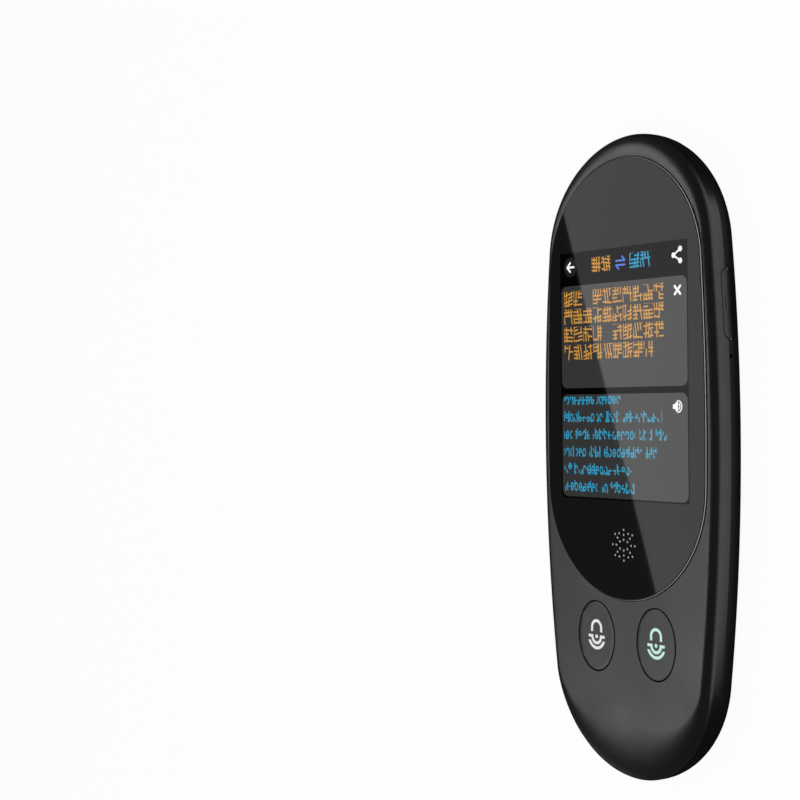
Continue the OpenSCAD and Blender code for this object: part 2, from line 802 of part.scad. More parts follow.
module microphones() {
    color(steel_color) union() {
        for (place = [[mic_x, end_inset + 1.5 - half_l], [0, half_l - end_inset - 0.6 - mic_l]])
            translate([place[0] - mic_w / 2, place[1], board_z - mic_h]) cube([mic_w, mic_l, mic_h]);
    }
}

module vibration_motor() {
    color(steel_color) translate([-9, battery_top + 6 + motor_r, board_z - motor_h])
        cylinder(r = motor_r, h = motor_h);
}

module radio_antenna() {
    color(flex_color) translate([0, module_top + 1.4, 0])
        box(-antenna_w / 2, antenna_w / 2, 0, antenna_l, ceiling_z - ribbon_t, ceiling_z);
}

module card_socket() {
    color(steel_color) on_side(door_y) difference() {
        box(-socket_depth - socket_l, -socket_depth, -socket_w / 2, socket_w / 2,
            board_top, board_top + socket_h);
        box(1 - socket_depth - socket_l, 1 - socket_depth, -card_w / 2 - 0.2, card_w / 2 + 0.2, slot_z,
            slot_z + slot_t - 0.1);
    }
}

module card_door() {
    color(shell_color) on_side(door_y) difference() {
        intersection() {
            side_slot(door_l, door_w, -door_t, 1);
            side_skin(door_l + 2);
        }
        side_bar(pin_r + 0.03, pin_l, pin_depth, pin_z);
        side_bar(notch_r, notch_l, -0.55, side_z + 0.4);
    }
}

module door_pin() {
    color(steel_color) on_side(door_y) side_bar(pin_r, pin_l - 0.2, pin_depth, pin_z);
}

module side_switch() {
    difference() {
        box(-switch_depth - switch_t, -switch_depth, -switch_l / 2, switch_l / 2, side_z - switch_w / 2,
            side_z + switch_w / 2);
        translate([-switch_depth - switch_t + 0.3, 0, side_z]) rotate([0, 90, 0])
            cylinder(r = stem_r + fit_gap, h = 3);
    }
}

module reset_switch() {
    color(black_part_color) on_side(reset_y) side_switch();
}

module reset_plunger() {
    color("#d8d8d4") on_side(reset_y) translate([-switch_depth - 0.6, 0, side_z]) rotate([0, 90, 0])
        cylinder(r = stem_r, h = 0.85);
}

module side_key(y) {
    color(shell_color) on_side(y, -1) union() {
        intersection() {
            side_slot(key_l, key_w, -key_guide - fit_gap - eps, 1);
            translate([-key_sink, 0, 0]) side_skin(key_l + 2);
        }
        side_slot(key_l + 2 * flange_lip, key_w + 2 * flange_lip, -key_guide - fit_gap - flange_t,
                  -key_guide - fit_gap);
        translate([-switch_depth - 0.6, 0, side_z]) rotate([0, 90, 0])
            cylinder(r = stem_r, h = switch_depth + 0.6 - key_guide - fit_gap - 0.1);
    }
}

module power_key() {
    side_key(power_y);
}

module volume_up_key() {
    side_key(volume_up_y);
}

module volume_down_key() {
    side_key(volume_down_y);
}

module side_switches() {
    color(black_part_color) for (y = [power_y, volume_down_y, volume_up_y]) on_side(y, -1) side_switch();
}

module screw(z_head, length) {
    translate([0, 0, z_head]) difference() {
        union() {
            cylinder(r = head_r, h = head_t);
            cylinder(r = screw_r, h = head_t + length);
        }
        translate([-0.8, -0.18, -1]) cube([1.6, 0.36, 1.35]);
        translate([-0.18, -0.8, -1]) cube([0.36, 1.6, 1.35]);
    }
}

module housing_screws() {
    color(steel_color) for (place = [top_post, low_post]) at_pairs(place)
        screw(head_sink, board_top + insert_h - head_sink - head_t - 0.2);
}

module board_screws() {
    color(steel_color) for (place = [mid_boss, low_boss]) at_pairs(place)
        screw(board_z - head_t, board_t + insert_h - 0.2);
}

module screw_inserts() {
    color("#c9a24a") for (place = [top_post, low_post, mid_boss, low_boss]) at_pairs(place)
        translate([0, 0, board_top]) ring(insert_r, screw_r, insert_h);
}

front_housing();
rear_cover();
cover_glass();
glass_adhesive();
lcd_panel();
backlight();
display_foam();
chassis_plate();
display_flex();
talk_button_left();
talk_button_right();
talk_icon_left();
talk_icon_right();
talk_plunger_left();
talk_plunger_right();
talk_switches();
lower_board();
main_board();
shield_cans();
board_chips();
flex_connectors();
board_link_flex();
battery();
battery_tape();
battery_lead();
speaker();
speaker_gasket();
speaker_mesh();
usb_socket();
usb_tongue();
microphones();
vibration_motor();
radio_antenna();
card_socket();
card_door();
door_pin();
reset_switch();
reset_plunger();
power_key();
volume_up_key();
volume_down_key();
side_switches();
housing_screws();
board_screws();
screw_inserts();
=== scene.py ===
# Handheld translator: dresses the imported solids, then sets the floor, the light and the camera.
# Sizes in the dictionaries are millimetres, unless a note says otherwise. Everything ends up in metres.
import bpy
import bmesh
import math
from mathutils import Matrix, Vector


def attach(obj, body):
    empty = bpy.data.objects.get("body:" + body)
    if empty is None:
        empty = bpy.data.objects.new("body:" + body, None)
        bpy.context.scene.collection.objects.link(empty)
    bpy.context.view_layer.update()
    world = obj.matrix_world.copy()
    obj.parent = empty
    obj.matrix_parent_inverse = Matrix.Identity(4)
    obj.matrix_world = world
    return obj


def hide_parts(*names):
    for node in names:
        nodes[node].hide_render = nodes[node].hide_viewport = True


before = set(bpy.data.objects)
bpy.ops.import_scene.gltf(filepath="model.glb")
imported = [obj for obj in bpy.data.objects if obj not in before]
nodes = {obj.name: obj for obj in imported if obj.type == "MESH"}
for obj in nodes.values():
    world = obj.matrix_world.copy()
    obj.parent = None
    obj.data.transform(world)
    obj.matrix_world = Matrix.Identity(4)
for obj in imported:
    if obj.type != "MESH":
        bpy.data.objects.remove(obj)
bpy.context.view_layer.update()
mm = 0.001
weld = 2e-6  # points nearer than this many metres are merged


# node trees

class Value:  # a node's output; an expression on it adds the nodes it needs
    def __init__(self, graph, socket):
        self.graph = graph
        self.socket = socket
        self.isVector = socket.type in ("VECTOR", "RGBA")

    def calc(self, operation, *rest):
        return self.graph.calc(operation, self, *rest)

    def out(self, name):
        return Value(self.graph, self.socket.node.outputs[name])

    def __add__(self, other):
        return self.calc("ADD", other)

    def __sub__(self, other):
        return self.calc("SUBTRACT", other)

    def __rsub__(self, other):
        return self.graph.calc("SUBTRACT", other, self)

    def __mul__(self, other):
        return self.calc("MULTIPLY", other)

    def __truediv__(self, other):
        return self.calc("DIVIDE", other)

    def __gt__(self, other):
        return self.calc("GREATER_THAN", other)

    def __lt__(self, other):
        return self.calc("LESS_THAN", other)

    def __abs__(self):
        return self.calc("ABSOLUTE")

    __radd__ = __add__
    __rmul__ = __mul__


class Graph:  # one node tree
    def __init__(self, tree):
        self.tree = tree

    def node(self, kind, settings=None, values=None, out=0):
        # a value is plain, another node's output, or a list of outputs where a socket takes several
        made = self.tree.nodes.new(kind)
        for key, setting in (settings or {}).items():
            if key == "choices":
                while len(made.index_switch_items) < setting:
                    made.index_switch_items.new()
            else:
                setattr(made, key, setting)
        for key, value in (values or {}).items():
            sources = value if isinstance(value, list) else [value]
            for source in sources:
                if isinstance(source, Value):
                    self.tree.links.new(source.socket, made.inputs[key])
                else:
                    made.inputs[key].default_value = source
        return Value(self, made.outputs[out]) if made.outputs else None

    def calc(self, operation, *values):
        vectors = [isinstance(v, tuple) or isinstance(v, Value) and v.isVector for v in values]
        if not any(vectors):
            return self.node("ShaderNodeMath", {"operation": operation}, dict(enumerate(values)))
        if operation == "MULTIPLY" and not all(vectors):
            long, short = values if vectors[0] else values[::-1]
            return self.node("ShaderNodeVectorMath", {"operation": "SCALE"}, {0: long, 3: short})
        return self.node("ShaderNodeVectorMath", {"operation": operation}, dict(enumerate(values)))

    def xyz(self, x=0.0, y=0.0, z=0.0):
        return self.node("ShaderNodeCombineXYZ", None, {0: x, 1: y, 2: z})

    def split(self, vector):
        x = self.node("ShaderNodeSeparateXYZ", None, {0: vector}, "X")
        return x, x.out("Y"), x.out("Z")

    def blend(self, a, b, factor):
        return self.node("ShaderNodeMix", {"data_type": "RGBA"}, {0: factor, 6: a, 7: b}, 2)


def makeTree(name, sizes, shape, finish, fromMesh):
    tree = bpy.data.node_groups.new(name, "GeometryNodeTree")
    tree.interface.new_socket("Mesh", in_out="OUTPUT", socket_type="NodeSocketGeometry")
    if fromMesh:
        tree.interface.new_socket("Points", in_out="INPUT", socket_type="NodeSocketGeometry")
    for size in sizes:
        tree.interface.new_socket(size, in_out="INPUT", socket_type="NodeSocketFloat")
    graph = Graph(tree)
    given = graph.node("NodeGroupInput")
    inputs = {size: given.out(size) for size in sizes}
    if fromMesh:
        inputs["Points"] = given
    real = graph.node("GeometryNodeRealizeInstances", None, {0: shape(graph, inputs)})
    coated = graph.node("GeometryNodeSetMaterial", None, {"Geometry": real, "Material": finish})
    graph.node("NodeGroupOutput", None, {0: coated})
    return tree


def newObject(name, mesh):
    piece = bpy.data.objects.new(name, mesh)
    bpy.context.scene.collection.objects.link(piece)
    return piece


def fromShape(name, shapeUp):
    mesh = bpy.data.meshes.new(name)
    shapeUp.to_mesh(mesh)
    shapeUp.free()
    return newObject(name, mesh)


def settle(piece):  # what the modifiers make becomes the mesh
    bpy.context.view_layer.update()
    made = bpy.data.meshes.new_from_object(piece.evaluated_get(bpy.context.evaluated_depsgraph_get()))
    piece.modifiers.clear()
    piece.data = made


def grow(name, sizes, shape, slot, points=None):
    # a piece from a node tree with these sizes; points, where there are any, carry what repeats
    finish = finishes[slot]
    tree = makeTree(name, sizes, shape, finish, points is not None)
    mesh = bpy.data.meshes.new(name)
    if points is not None:
        mesh.from_pydata([tuple(c * mm for c in p) for p in points], [], [])
    piece = newObject(name, mesh)
    live = piece.modifiers.new(name, "NODES")
    live.node_group = tree
    for item in tree.interface.items_tree:
        if item.in_out == "INPUT" and item.name in sizes:
            live[item.identifier] = float(sizes[item.name])
    settle(piece)
    piece.data.materials.clear()
    piece.data.materials.append(finish)
    piece.data.polygons.foreach_set("material_index", [0] * len(piece.data.polygons))
    shapeUp = bmesh.new()
    shapeUp.from_mesh(piece.data)
    if points is None and shapeUp.calc_volume(signed=True) < 0:
        bmesh.ops.reverse_faces(shapeUp, faces=shapeUp.faces)
    shapeUp.to_mesh(piece.data)
    shapeUp.free()
    return piece


# finishes; every material reads Object coordinates

def cleared(owner):
    owner.use_nodes = True
    owner.node_tree.nodes.clear()
    return Graph(owner.node_tree)


def surface(name, paint):
    material = bpy.data.materials.new(name)
    graph = cleared(material)
    place = graph.node("ShaderNodeTexCoord", None, None, "Object")
    graph.node("ShaderNodeOutputMaterial", None, {"Surface": paint(graph, place)})
    return material


def noise(place, size, detail=2.0):  # size of its spots in millimetres
    values = {"Vector": place, "Scale": 1 / (size * mm), "Detail": detail}
    return place.graph.node("ShaderNodeTexNoise", None, values, "Fac")


def principled(graph, **values):
    return graph.node("ShaderNodeBsdfPrincipled", None, {k.replace("_", " "): v for k, v in values.items()})


def bump(height, strength, depth):
    values = {"Strength": strength, "Distance": depth * mm, "Height": height}
    return height.graph.node("ShaderNodeBump", None, values)


def shades(factor, dark, light):
    return factor.graph.blend((*dark, 1.0), (*light, 1.0), factor)


def moulded(name, colour, roughness, grain, depth, specular=0.5):
    # moulded plastic: spark-eroded grain, soft handling marks, slightly uneven colour
    def paint(graph, place):
        fine = noise(place, grain, 3.0)
        marks = noise(place, 14.0, 4.0)
        specks = noise(place, grain * 6, 1.0)
        uneven = marks * 0.6 + specks * 0.4
        return principled(
            graph,
            Base_Color=shades(uneven, [c * 0.82 for c in colour], [c * 1.2 for c in colour]),
            Roughness=roughness + (marks - 0.5) * 0.12 + (fine - 0.5) * 0.1,
            Specular_IOR_Level=specular,
            Normal=bump(fine, 0.35, depth),
        )
    return surface(name, paint)


def metal(name, colour, roughness, brushed=(1.0, 1.0, 1.0)):
    def paint(graph, place):
        along = graph.calc("MULTIPLY", place, brushed)
        lines = noise(along, 0.25, 3.0)
        stains = noise(place, 6.0, 3.0)
        return principled(
            graph,
            Base_Color=shades(stains, [c * 0.82 for c in colour], [min(1, c * 1.1) for c in colour]),
            Metallic=1.0,
            Roughness=roughness + (lines - 0.5) * 0.16 + (stains - 0.5) * 0.1,
            Normal=bump(lines, 0.2, 0.01),
        )
    return surface(name, paint)


def boardPaint(graph, place):
    # green solder mask over tracks, with small bare pads; counts are per metre
    rowCount, laneCount, padCount = 900, 700, 420.0
    x, y, z = graph.split(place)
    rows = (y * rowCount + noise(place, 8.0) * 3).calc("FRACT")
    lanes = (x * laneCount + noise(place, 11.0) * 4).calc("FRACT")
    rowTracks = (rows < 0.4) * (noise(place, 5.0, 0.0) > 0.5)
    laneTracks = (lanes < 0.35) * (noise(place, 4.0, 0.0) < 0.45)
    tracks = rowTracks.calc("MAXIMUM", laneTracks)
    pads = graph.node("ShaderNodeTexVoronoi", None, {"Vector": place, "Scale": padCount}, "Distance") < 0.2
    green = shades(tracks, (0.008, 0.06, 0.025), (0.015, 0.12, 0.05))
    return principled(
        graph,
        Base_Color=graph.blend(green, (0.75, 0.55, 0.25, 1.0), pads),
        Metallic=pads * 0.9,
        Roughness=0.35 + noise(place, 1.0) * 0.15,
        Normal=bump(tracks, 0.5, 0.03),
    )


def ribbonPaint(graph, place):
    # amber film over copper lines, so many per metre
    lineCount = 2500
    x, y, z = graph.split(place)
    lines = (x * lineCount).calc("FRACT") < 0.5
    amber = lines * 0.7 + noise(place, 3.0) * 0.3
    return principled(
        graph,
        Base_Color=shades(amber, (0.24, 0.07, 0.012), (0.5, 0.17, 0.04)),
        Roughness=0.3 + noise(place, 2.0) * 0.15,
        Normal=bump(lines, 0.3, 0.01),
    )


def pouchPaint(graph, place):
    creases = noise(place, 7.0, 6.0)
    return principled(
        graph,
        Base_Color=shades(noise(place, 12.0), (0.5, 0.5, 0.52), (0.62, 0.62, 0.63)),
        Metallic=0.9,
        Roughness=0.28 + creases * 0.15,
        Normal=bump(creases, 0.6, 0.15),
    )


def foamPaint(graph, place):
    poreCount = 5200.0  # per metre
    pores = graph.node("ShaderNodeTexVoronoi", None, {"Vector": place, "Scale": poreCount}, "Distance")
    return principled(
        graph,
        Base_Color=shades(pores, (0.012, 0.012, 0.013), (0.04, 0.04, 0.042)),
        Roughness=0.85 + noise(place, 3.0) * 0.1,
        Normal=bump(pores, 0.8, 0.05),
    )


def gauzePaint(graph, place):
    # fine woven mesh
    threads = 22000  # radians per metre
    x, y, z = graph.split(place)
    weave = (x * threads).calc("SINE") * (y * threads).calc("SINE")
    return principled(
        graph,
        Base_Color=shades(weave * 0.25 + 0.6, (0.32, 0.32, 0.33), (0.62, 0.62, 0.63)),
        Roughness=0.55 + weave * 0.1,
        Normal=bump(weave, 0.4, 0.02),
    )


def printPaint(colour):
    # light guide of an icon, in a slightly uneven colour
    def paint(graph, place):
        cloud = noise(place, 1.2, 3.0)
        return principled(
            graph,
            Base_Color=shades(cloud, [c * 0.92 for c in colour], colour),
            Roughness=0.4 + cloud * 0.15,
            Normal=bump(noise(place, 0.12), 0.15, 0.005),
        )
    return paint


def siliconePaint(graph, place):
    haze = noise(place, 1.5, 3.0)
    return principled(
        graph,
        Base_Color=shades(haze, (0.012, 0.012, 0.013), (0.022, 0.022, 0.023)),
        Roughness=0.6 + haze * 0.15,
        Normal=bump(noise(place, 0.2), 0.2, 0.01),
    )


print("stage: finishes")

# what the lit display shows; u runs right and v down from its upper left corner
screen = {
    "left": -21.6, "top": 47.65, "width": 43.2, "height": 57.6,
    "header": 7.85, "cardHeight": 24.0, "lowHeight": 23.9, "cardGap": 1.5, "cardSide": 0.35, "corner": 1.7,
    "card": (0.034, 0.034, 0.034), "dark": (0.0004, 0.0004, 0.0004), "disc": (0.014, 0.014, 0.015),
    "orange": (0.58, 0.28, 0.05), "blue": (0.03, 0.32, 0.52), "violet": (0.1, 0.22, 0.75),
    "white": (0.95, 0.95, 0.95),
}
# upper card's lines of signs, counted in signs, and lower card's lines of words: (line, from, to)
signs = {"size": 3.45, "pitch": 4.2, "left": 1.2, "first": 3.0,
         "runs": [(0, 0, 2), (0, 3, 10), (1, 0, 10), (2, 0, 4), (2, 5, 10), (3, 0, 9)]}
words = {"pitch": 4.05, "first": 1.35, "above": 1.6, "cutAbove": 0.85, "under": 1.1,
         "runs": [(0, 1.0, 21.0), (1, 1.0, 20.5), (1, 21.8, 34.7), (2, 1.0, 3.9), (2, 5.0, 10.1),
                  (2, 11.3, 25.9), (2, 27.3, 29.5), (2, 30.6, 36.3), (3, 1.0, 8.8), (3, 9.9, 14.0),
                  (3, 15.2, 28.0), (3, 29.3, 32.8), (4, 1.0, 24.6), (5, 1.2, 13.2), (5, 14.4, 25.6)]}
# one greeked sign, in shares of its square cell, and one greeked letter
sign = {"gaps": 0.38, "lean": 0.5, "tilt": 0.35, "bars": 5, "barFill": 0.46, "posts": 4, "postFill": 0.42,
        "half": (0.45, 0.42)}
letter = {"cell": 1.5, "squash": (4.2, 1.45), "ring": (0.5, 1.5), "gaps": 0.36, "bar": (0.5, 0.19),
          "post": (0.17, 1.3), "postAt": 0.53, "postUp": 0.2, "postCuts": 0.6, "shift": 50}
# header and icons: pairs of signs are (from, size of one), strokes are (u, v, u, v), dots are (u, v)
icons = {
    "middle": 3.4, "disc": (3.8, 2.3), "signRows": (1.3, 5.5), "signHeight": 4.1,
    "orangePair": (11.3, 3.4), "bluePair": (24.3, 3.6), "pairGaps": 0.22,
    "swap": [(19.9, 3.1, 22.9, 3.1), (22.0, 2.2, 22.9, 3.1), (19.9, 4.1, 22.9, 4.1), (19.9, 4.1, 20.8, 5.0)],
    "back": [(2.6, 3.4, 5.0, 3.4), (2.6, 3.4, 3.7, 2.35), (2.6, 3.4, 3.7, 4.45)],
    "share": [(40.9, 2.0, 38.8, 3.3), (38.8, 3.3, 40.9, 4.6)],
    "shareDots": [(40.9, 2.0), (38.8, 3.3), (40.9, 4.6)], "shareDot": 0.62,
    "cross": [(39.1, 10.1, 40.8, 11.8), (39.1, 11.8, 40.8, 10.1)],
    "swapWidth": 0.42, "backWidth": 0.5, "shareWidth": 0.4, "crossWidth": 0.6,
}
# horn in the lower card; its waves are (inner radius, outer radius, start to the right of their middle)
horn = {"down": 3.0, "start": 38.2, "mouth": 39.0, "half": 0.5,
        "rise": 0.95, "coneMiddle": 39.1, "coneHalf": 0.7,
        "wavesFrom": 39.7, "waves": [(0.5, 0.85, 0.25), (1.1, 1.45, 0.3)]}


def screenGlow(graph, place):
    # the picture's colour, and masks of the lit window and of its cards
    s = screen
    x, y, z = graph.split(place)
    u = x / mm - s["left"]
    v = s["top"] - y / mm

    def box(u0, u1, v0, v1):
        return (abs(u - (u0 + u1) / 2) < (u1 - u0) / 2) * (abs(v - (v0 + v1) / 2) < (v1 - v0) / 2)

    def card(v0, height):
        halfU, halfV, r = s["width"] / 2 - s["cardSide"], height / 2, s["corner"]
        du = (abs(u - s["width"] / 2) - (halfU - r)).calc("MAXIMUM", 0.0)
        dv = (abs(v - (v0 + halfV)) - (halfV - r)).calc("MAXIMUM", 0.0)
        return du * du + dv * dv < r * r

    def stroke(ends, width):
        u0, v0, u1, v1 = ends
        du, dv = u1 - u0, v1 - v0
        along = ((u - u0) * du + (v - v0) * dv) / (du * du + dv * dv)
        along = along.calc("MAXIMUM", 0.0).calc("MINIMUM", 1.0)
        offU, offV = u - u0 - along * du, v - v0 - along * dv
        return offU * offU + offV * offV < width * width / 4

    def dot(u0, v0, radius, inner=0.0):
        far = (u - u0) * (u - u0) + (v - v0) * (v - v0)
        return (far < radius * radius) * (far > inner * inner) if inner else far < radius * radius

    def union(masks):
        whole = masks[0]
        for mask in masks[1:]:
            whole = whole.calc("MAXIMUM", mask)
        return whole

    def chance(a, seed, b=0.0):
        # one draw for each square of a and b
        spot = graph.xyz(a.calc("FLOOR"), b.calc("FLOOR") if isinstance(b, Value) else b, seed)
        return graph.node("ShaderNodeTexWhiteNoise", {"noise_dimensions": "3D"}, {"Vector": spot}, "Value")

    def cells(a, b, seed, gaps=sign["gaps"]):
        # greeked signs: thin leaning strokes across and down, by chance, in square cells
        inA, inB = a.calc("FRACT") - 0.5, b.calc("FRACT") - 0.5
        across = (a + (chance(a, seed, b) - 0.5) * inB * sign["lean"]) * sign["posts"]
        down = (b + (chance(a, seed + 0.3, b) - 0.4) * inA * sign["tilt"]) * sign["bars"]
        bars = (chance(a * 2, seed + 0.6, down) > gaps) * (down.calc("FRACT") < sign["barFill"])
        posts = (chance(across, seed + 0.9, b * 2) > gaps) * (across.calc("FRACT") < sign["postFill"])
        halfA, halfB = sign["half"]
        return bars.calc("MAXIMUM", posts) * (abs(inA) < halfA) * (abs(inB) < halfB)

    def scribble(v0, seed):
        # greeked words: broken rings, some with a bar or a tall stroke beside them, by chance
        width, shift, postAt = letter["cell"], letter["shift"], letter["postAt"]
        (squashU, squashV), (near, far) = letter["squash"], letter["ring"]
        (barU, barV), (postU, postV) = letter["bar"], letter["post"]
        cell = u / width
        right, under = u - cell.calc("FLOOR") * width - width / 2, v - v0
        around = right * right * squashU + under * under * squashV
        arc = (around < far) * (around > near) * (chance(cell * 2, seed, under + shift) > letter["gaps"])
        bar = (abs(under) < barV) * (abs(right) < barU) * (chance(cell, seed + 0.2) > 0.5)
        beside = (chance(cell, seed + 0.5) > 0.5) * (postAt * 2) - postAt
        drawn = chance(cell, seed + 0.8, under * letter["postCuts"] + shift) > 0.5
        post = (abs(right - beside) < postU) * drawn * (abs(under + letter["postUp"]) < postV)
        return union([arc, bar, post])

    def paintOver(colour, name, mask):
        return graph.blend(colour, (*s[name], 1.0), mask)

    low = s["header"] + s["cardHeight"] + s["cardGap"]
    cards = union([card(s["header"], s["cardHeight"]), card(low, s["lowHeight"])])
    colour = graph.blend((*s["dark"], 1.0), (*s["card"], 1.0), cards)

    # upper card
    size, pitch, left, first = signs["size"], signs["pitch"], signs["left"], s["header"] + signs["first"]
    lines = []
    for row, p, q in signs["runs"]:
        v0, v1 = first + (row - 0.5) * pitch, first + (row + 0.5) * pitch
        lines.append(box(left + p * size, left + q * size, v0, v1))
    written = cells((u - left) / size, (v - first) / pitch + 0.5, 1.0)
    colour = paintOver(colour, "orange", written * union(lines))

    # lower card, whose first line is cut off above
    rows = []
    for row in range(words["runs"][-1][0] + 1):
        v0 = low + words["first"] + row * words["pitch"]
        above = v0 - (words["above"] if row else words["cutAbove"])
        under = v0 + words["under"]
        spans = [box(u0, u1, above, under) for line, u0, u1 in words["runs"] if line == row]
        rows.append(scribble(v0, row * 3.0) * union(spans))
    colour = paintOver(colour, "blue", union(rows))

    # header: back arrow on a disc, two pairs of signs, swap arrows, share sign; then the cards' own icons
    middle = icons["middle"]
    colour = paintOver(colour, "disc", dot(icons["disc"][0], middle, icons["disc"][1]))
    across = (v - middle) / icons["signHeight"] + 0.5
    for name, (start, wide), seed in (("orange", icons["orangePair"], 3.0), ("blue", icons["bluePair"], 5.0)):
        pair = cells((u - start) / wide, across, seed, icons["pairGaps"])
        colour = paintOver(colour, name, pair * box(start, start + wide * 2, *icons["signRows"]))
    colour = paintOver(colour, "violet", union([stroke(ends, icons["swapWidth"]) for ends in icons["swap"]]))
    white = [dot(*spot, icons["shareDot"]) for spot in icons["shareDots"]]
    for name in ("back", "share", "cross"):
        white += [stroke(ends, icons[name + "Width"]) for ends in icons[name]]
    loud = low + horn["down"]
    white.append(box(horn["start"], horn["mouth"], loud - horn["half"], loud + horn["half"]))
    cone = abs(v - loud) < (u - horn["start"]) * horn["rise"]
    white.append(cone * (abs(u - horn["coneMiddle"]) < horn["coneHalf"]))
    for near, far, past in horn["waves"]:
        white.append(dot(horn["wavesFrom"], loud, far, near) * (u > horn["wavesFrom"] + past))
    colour = paintOver(colour, "white", union(white))
    window = box(0, s["width"], 0, s["height"])
    return graph.blend((0.0, 0.0, 0.0, 1.0), colour, window), window, cards


# cover glass: heights of its frosted edge band, whose pale colour is also a painted highlight along the edge,
# its gloss, and what it loses off the cards or gains on them
glassLook = {"rim": (11.45, 11.61), "gloss": 0.335, "offCards": 0.135, "onCards": 0.14, "smudges": 0.02}


def glassPaint(graph, place):
    # black print under gloss, open over the lit display; wiped smudges only change the gloss
    look = glassLook
    glow, window, cards = screenGlow(graph, place)
    smudge = noise(place, 18.0, 5.0)
    dust = noise(place, 0.6, 1.0)
    x, y, z = graph.split(place)
    low, high = look["rim"]
    # frosted band round the glass edge, made pale as a painted highlight of the edge's bright line
    rim = (z < high * mm) * (z > low * mm)
    groundGlassAndHighlight = shades(noise(place, 0.3, 3.0), (0.3, 0.3, 0.305), (0.42, 0.42, 0.425))
    black = shades(window, (0.0075, 0.0075, 0.0078), (0.0006, 0.0006, 0.0006))
    gloss = look["gloss"] - (window - cards) * look["offCards"] + cards * look["onCards"]
    return principled(
        graph,
        Base_Color=graph.blend(black, groundGlassAndHighlight, rim),
        Roughness=0.3 + dust * 0.2,
        Specular_IOR_Level=0.0,
        Coat_Weight=gloss + (smudge - 0.5) * look["smudges"],
        Coat_Roughness=0.02,
        Coat_IOR=1.5,
        Emission_Color=glow,
        Emission_Strength=1.0,
    )


def displayPaint(graph, place):
    glow = screenGlow(graph, place)[0]
    return principled(
        graph,
        Base_Color=shades(noise(place, 9.0), (0.008, 0.009, 0.01), (0.014, 0.015, 0.017)),
        Roughness=0.2 + noise(place, 5.0) * 0.1,
        Emission_Color=glow,
        Emission_Strength=1.0,
    )


finishes = {
    "housing_plastic": moulded("housingPlastic", (0.003, 0.003, 0.0031), 0.33, 0.16, 0.012, 0.76),
    "rear_plastic": moulded("rearPlastic", (0.005, 0.005, 0.0052), 0.5, 0.2, 0.02, 0.3),
    "button_plastic": moulded("buttonPlastic", (0.003, 0.003, 0.0031), 0.33, 0.14, 0.01, 0.76),
    "black_parts": moulded("blackMouldedParts", (0.02, 0.02, 0.021), 0.38, 0.3, 0.01),
    "cover_glass": surface("printedGlass", glassPaint),
    "display": surface("litDisplay", displayPaint),
    "icon_white": surface("whiteIcon", printPaint((0.88, 0.88, 0.88))),
    "icon_mint": surface("mintIcon", printPaint((0.6, 0.9, 0.8))),
    "plunger": surface("siliconePlunger", siliconePaint),
    "foam": surface("blackFoam", foamPaint),
    "sheet_steel": metal("sheetSteel", (0.56, 0.56, 0.57), 0.32, (1.0, 0.12, 1.0)),
    "screw_steel": metal("screwSteel", (0.42, 0.42, 0.44), 0.3),
    "brass": metal("turnedBrass", (0.78, 0.56, 0.24), 0.3, (1.0, 1.0, 4.0)),
    "board": surface("solderMask", boardPaint),
    "flex": surface("ribbonFilm", ribbonPaint),
    "battery_pouch": surface("pouchFoil", pouchPaint),
    "mesh": surface("acousticGauze", gauzePaint),
}
for node in nodes.values():
    for index, old in enumerate(node.data.materials):
        node.material_slots[index].material = finishes[old.name.split(".")[0]]

print("stage: shells")

# ovals: half width, height of the widest line, end radii and their middles
body = {"half": 29.4, "widest": 5.5, "topRadius": 27.4, "topMiddle": 46.0,
        "lowRadius": 26.0, "lowMiddle": -47.4}
glass = {"half": 26.6, "widest": 6.3, "topRadius": 25.5, "topMiddle": 42.4,
         "lowRadius": 26.4, "lowMiddle": -6.2}
button = {"half": 6.2, "widest": 0.0, "topRadius": 5.3, "topMiddle": 2.65,
          "lowRadius": 5.3, "lowMiddle": -2.65}
# columns of points round an oval
shellColumns = 288
buttonColumns = 128


def named(oval, word):
    return {word + " " + key: size for key, size in oval.items()}


def sideRadius(half, end, reach):
    return (reach * reach / (half - end) + half + end) / 2


def ovalTurn(graph, columns):
    # the angle of the outward normal in each column, with more columns along the flat sides
    crowding = 0.36
    x, y, z = graph.split(graph.node("GeometryNodeInputPosition"))
    share = x / columns + 0.5
    return share * (2 * math.pi) - (share * (4 * math.pi)).calc("SINE") * crowding


def ovalEdge(graph, given, word, turn):
    get = {key: given[word + " " + key] for key in body}
    c, s = turn.calc("COSINE"), turn.calc("SINE")
    top = s > 0.0
    end = get["lowRadius"] + (get["topRadius"] - get["lowRadius"]) * top
    middle = get["lowMiddle"] + (get["topMiddle"] - get["lowMiddle"]) * top
    reach = abs(middle - get["widest"])
    side = sideRadius(get["half"], end, reach)
    onEnd = abs(s) > reach / (side - end)
    radius = side + (end - side) * onEnd
    x = c * radius - c.calc("SIGN") * (side - get["half"]) * (1 - onEnd)
    y = get["widest"] + (middle - get["widest"]) * onEnd + s * radius
    spine = graph.xyz(0.0, y.calc("MAXIMUM", get["lowMiddle"]).calc("MINIMUM", get["topMiddle"]))
    return {"edge": graph.xyz(x, y), "out": graph.xyz(c, s), "spine": spine, "s": s, "x": x, "y": y}


def ring(line, inset, height):
    return line["edge"] - line["out"] * inset + line["edge"].graph.xyz(0.0, 0.0, height)


def loft(graph, rings, columns):
    # a skin over rings of points, closed where rings or columns meet
    x, y, z = graph.split(graph.node("GeometryNodeInputPosition"))
    row = (y + (len(rings) - 1) / 2).calc("ROUND")
    place = graph.node("GeometryNodeIndexSwitch", {"data_type": "VECTOR", "choices": len(rings)},
                       {0: row, **{i + 1: r for i, r in enumerate(rings)}})
    grid = graph.node("GeometryNodeMeshGrid", None,
                      {0: float(columns), 1: float(len(rings) - 1), 2: columns + 1, 3: len(rings)})
    moved = graph.node("GeometryNodeSetPosition", None, {"Geometry": grid, "Position": place * mm})
    return graph.node("GeometryNodeMergeByDistance", None, {"Geometry": moved, "Distance": weld})


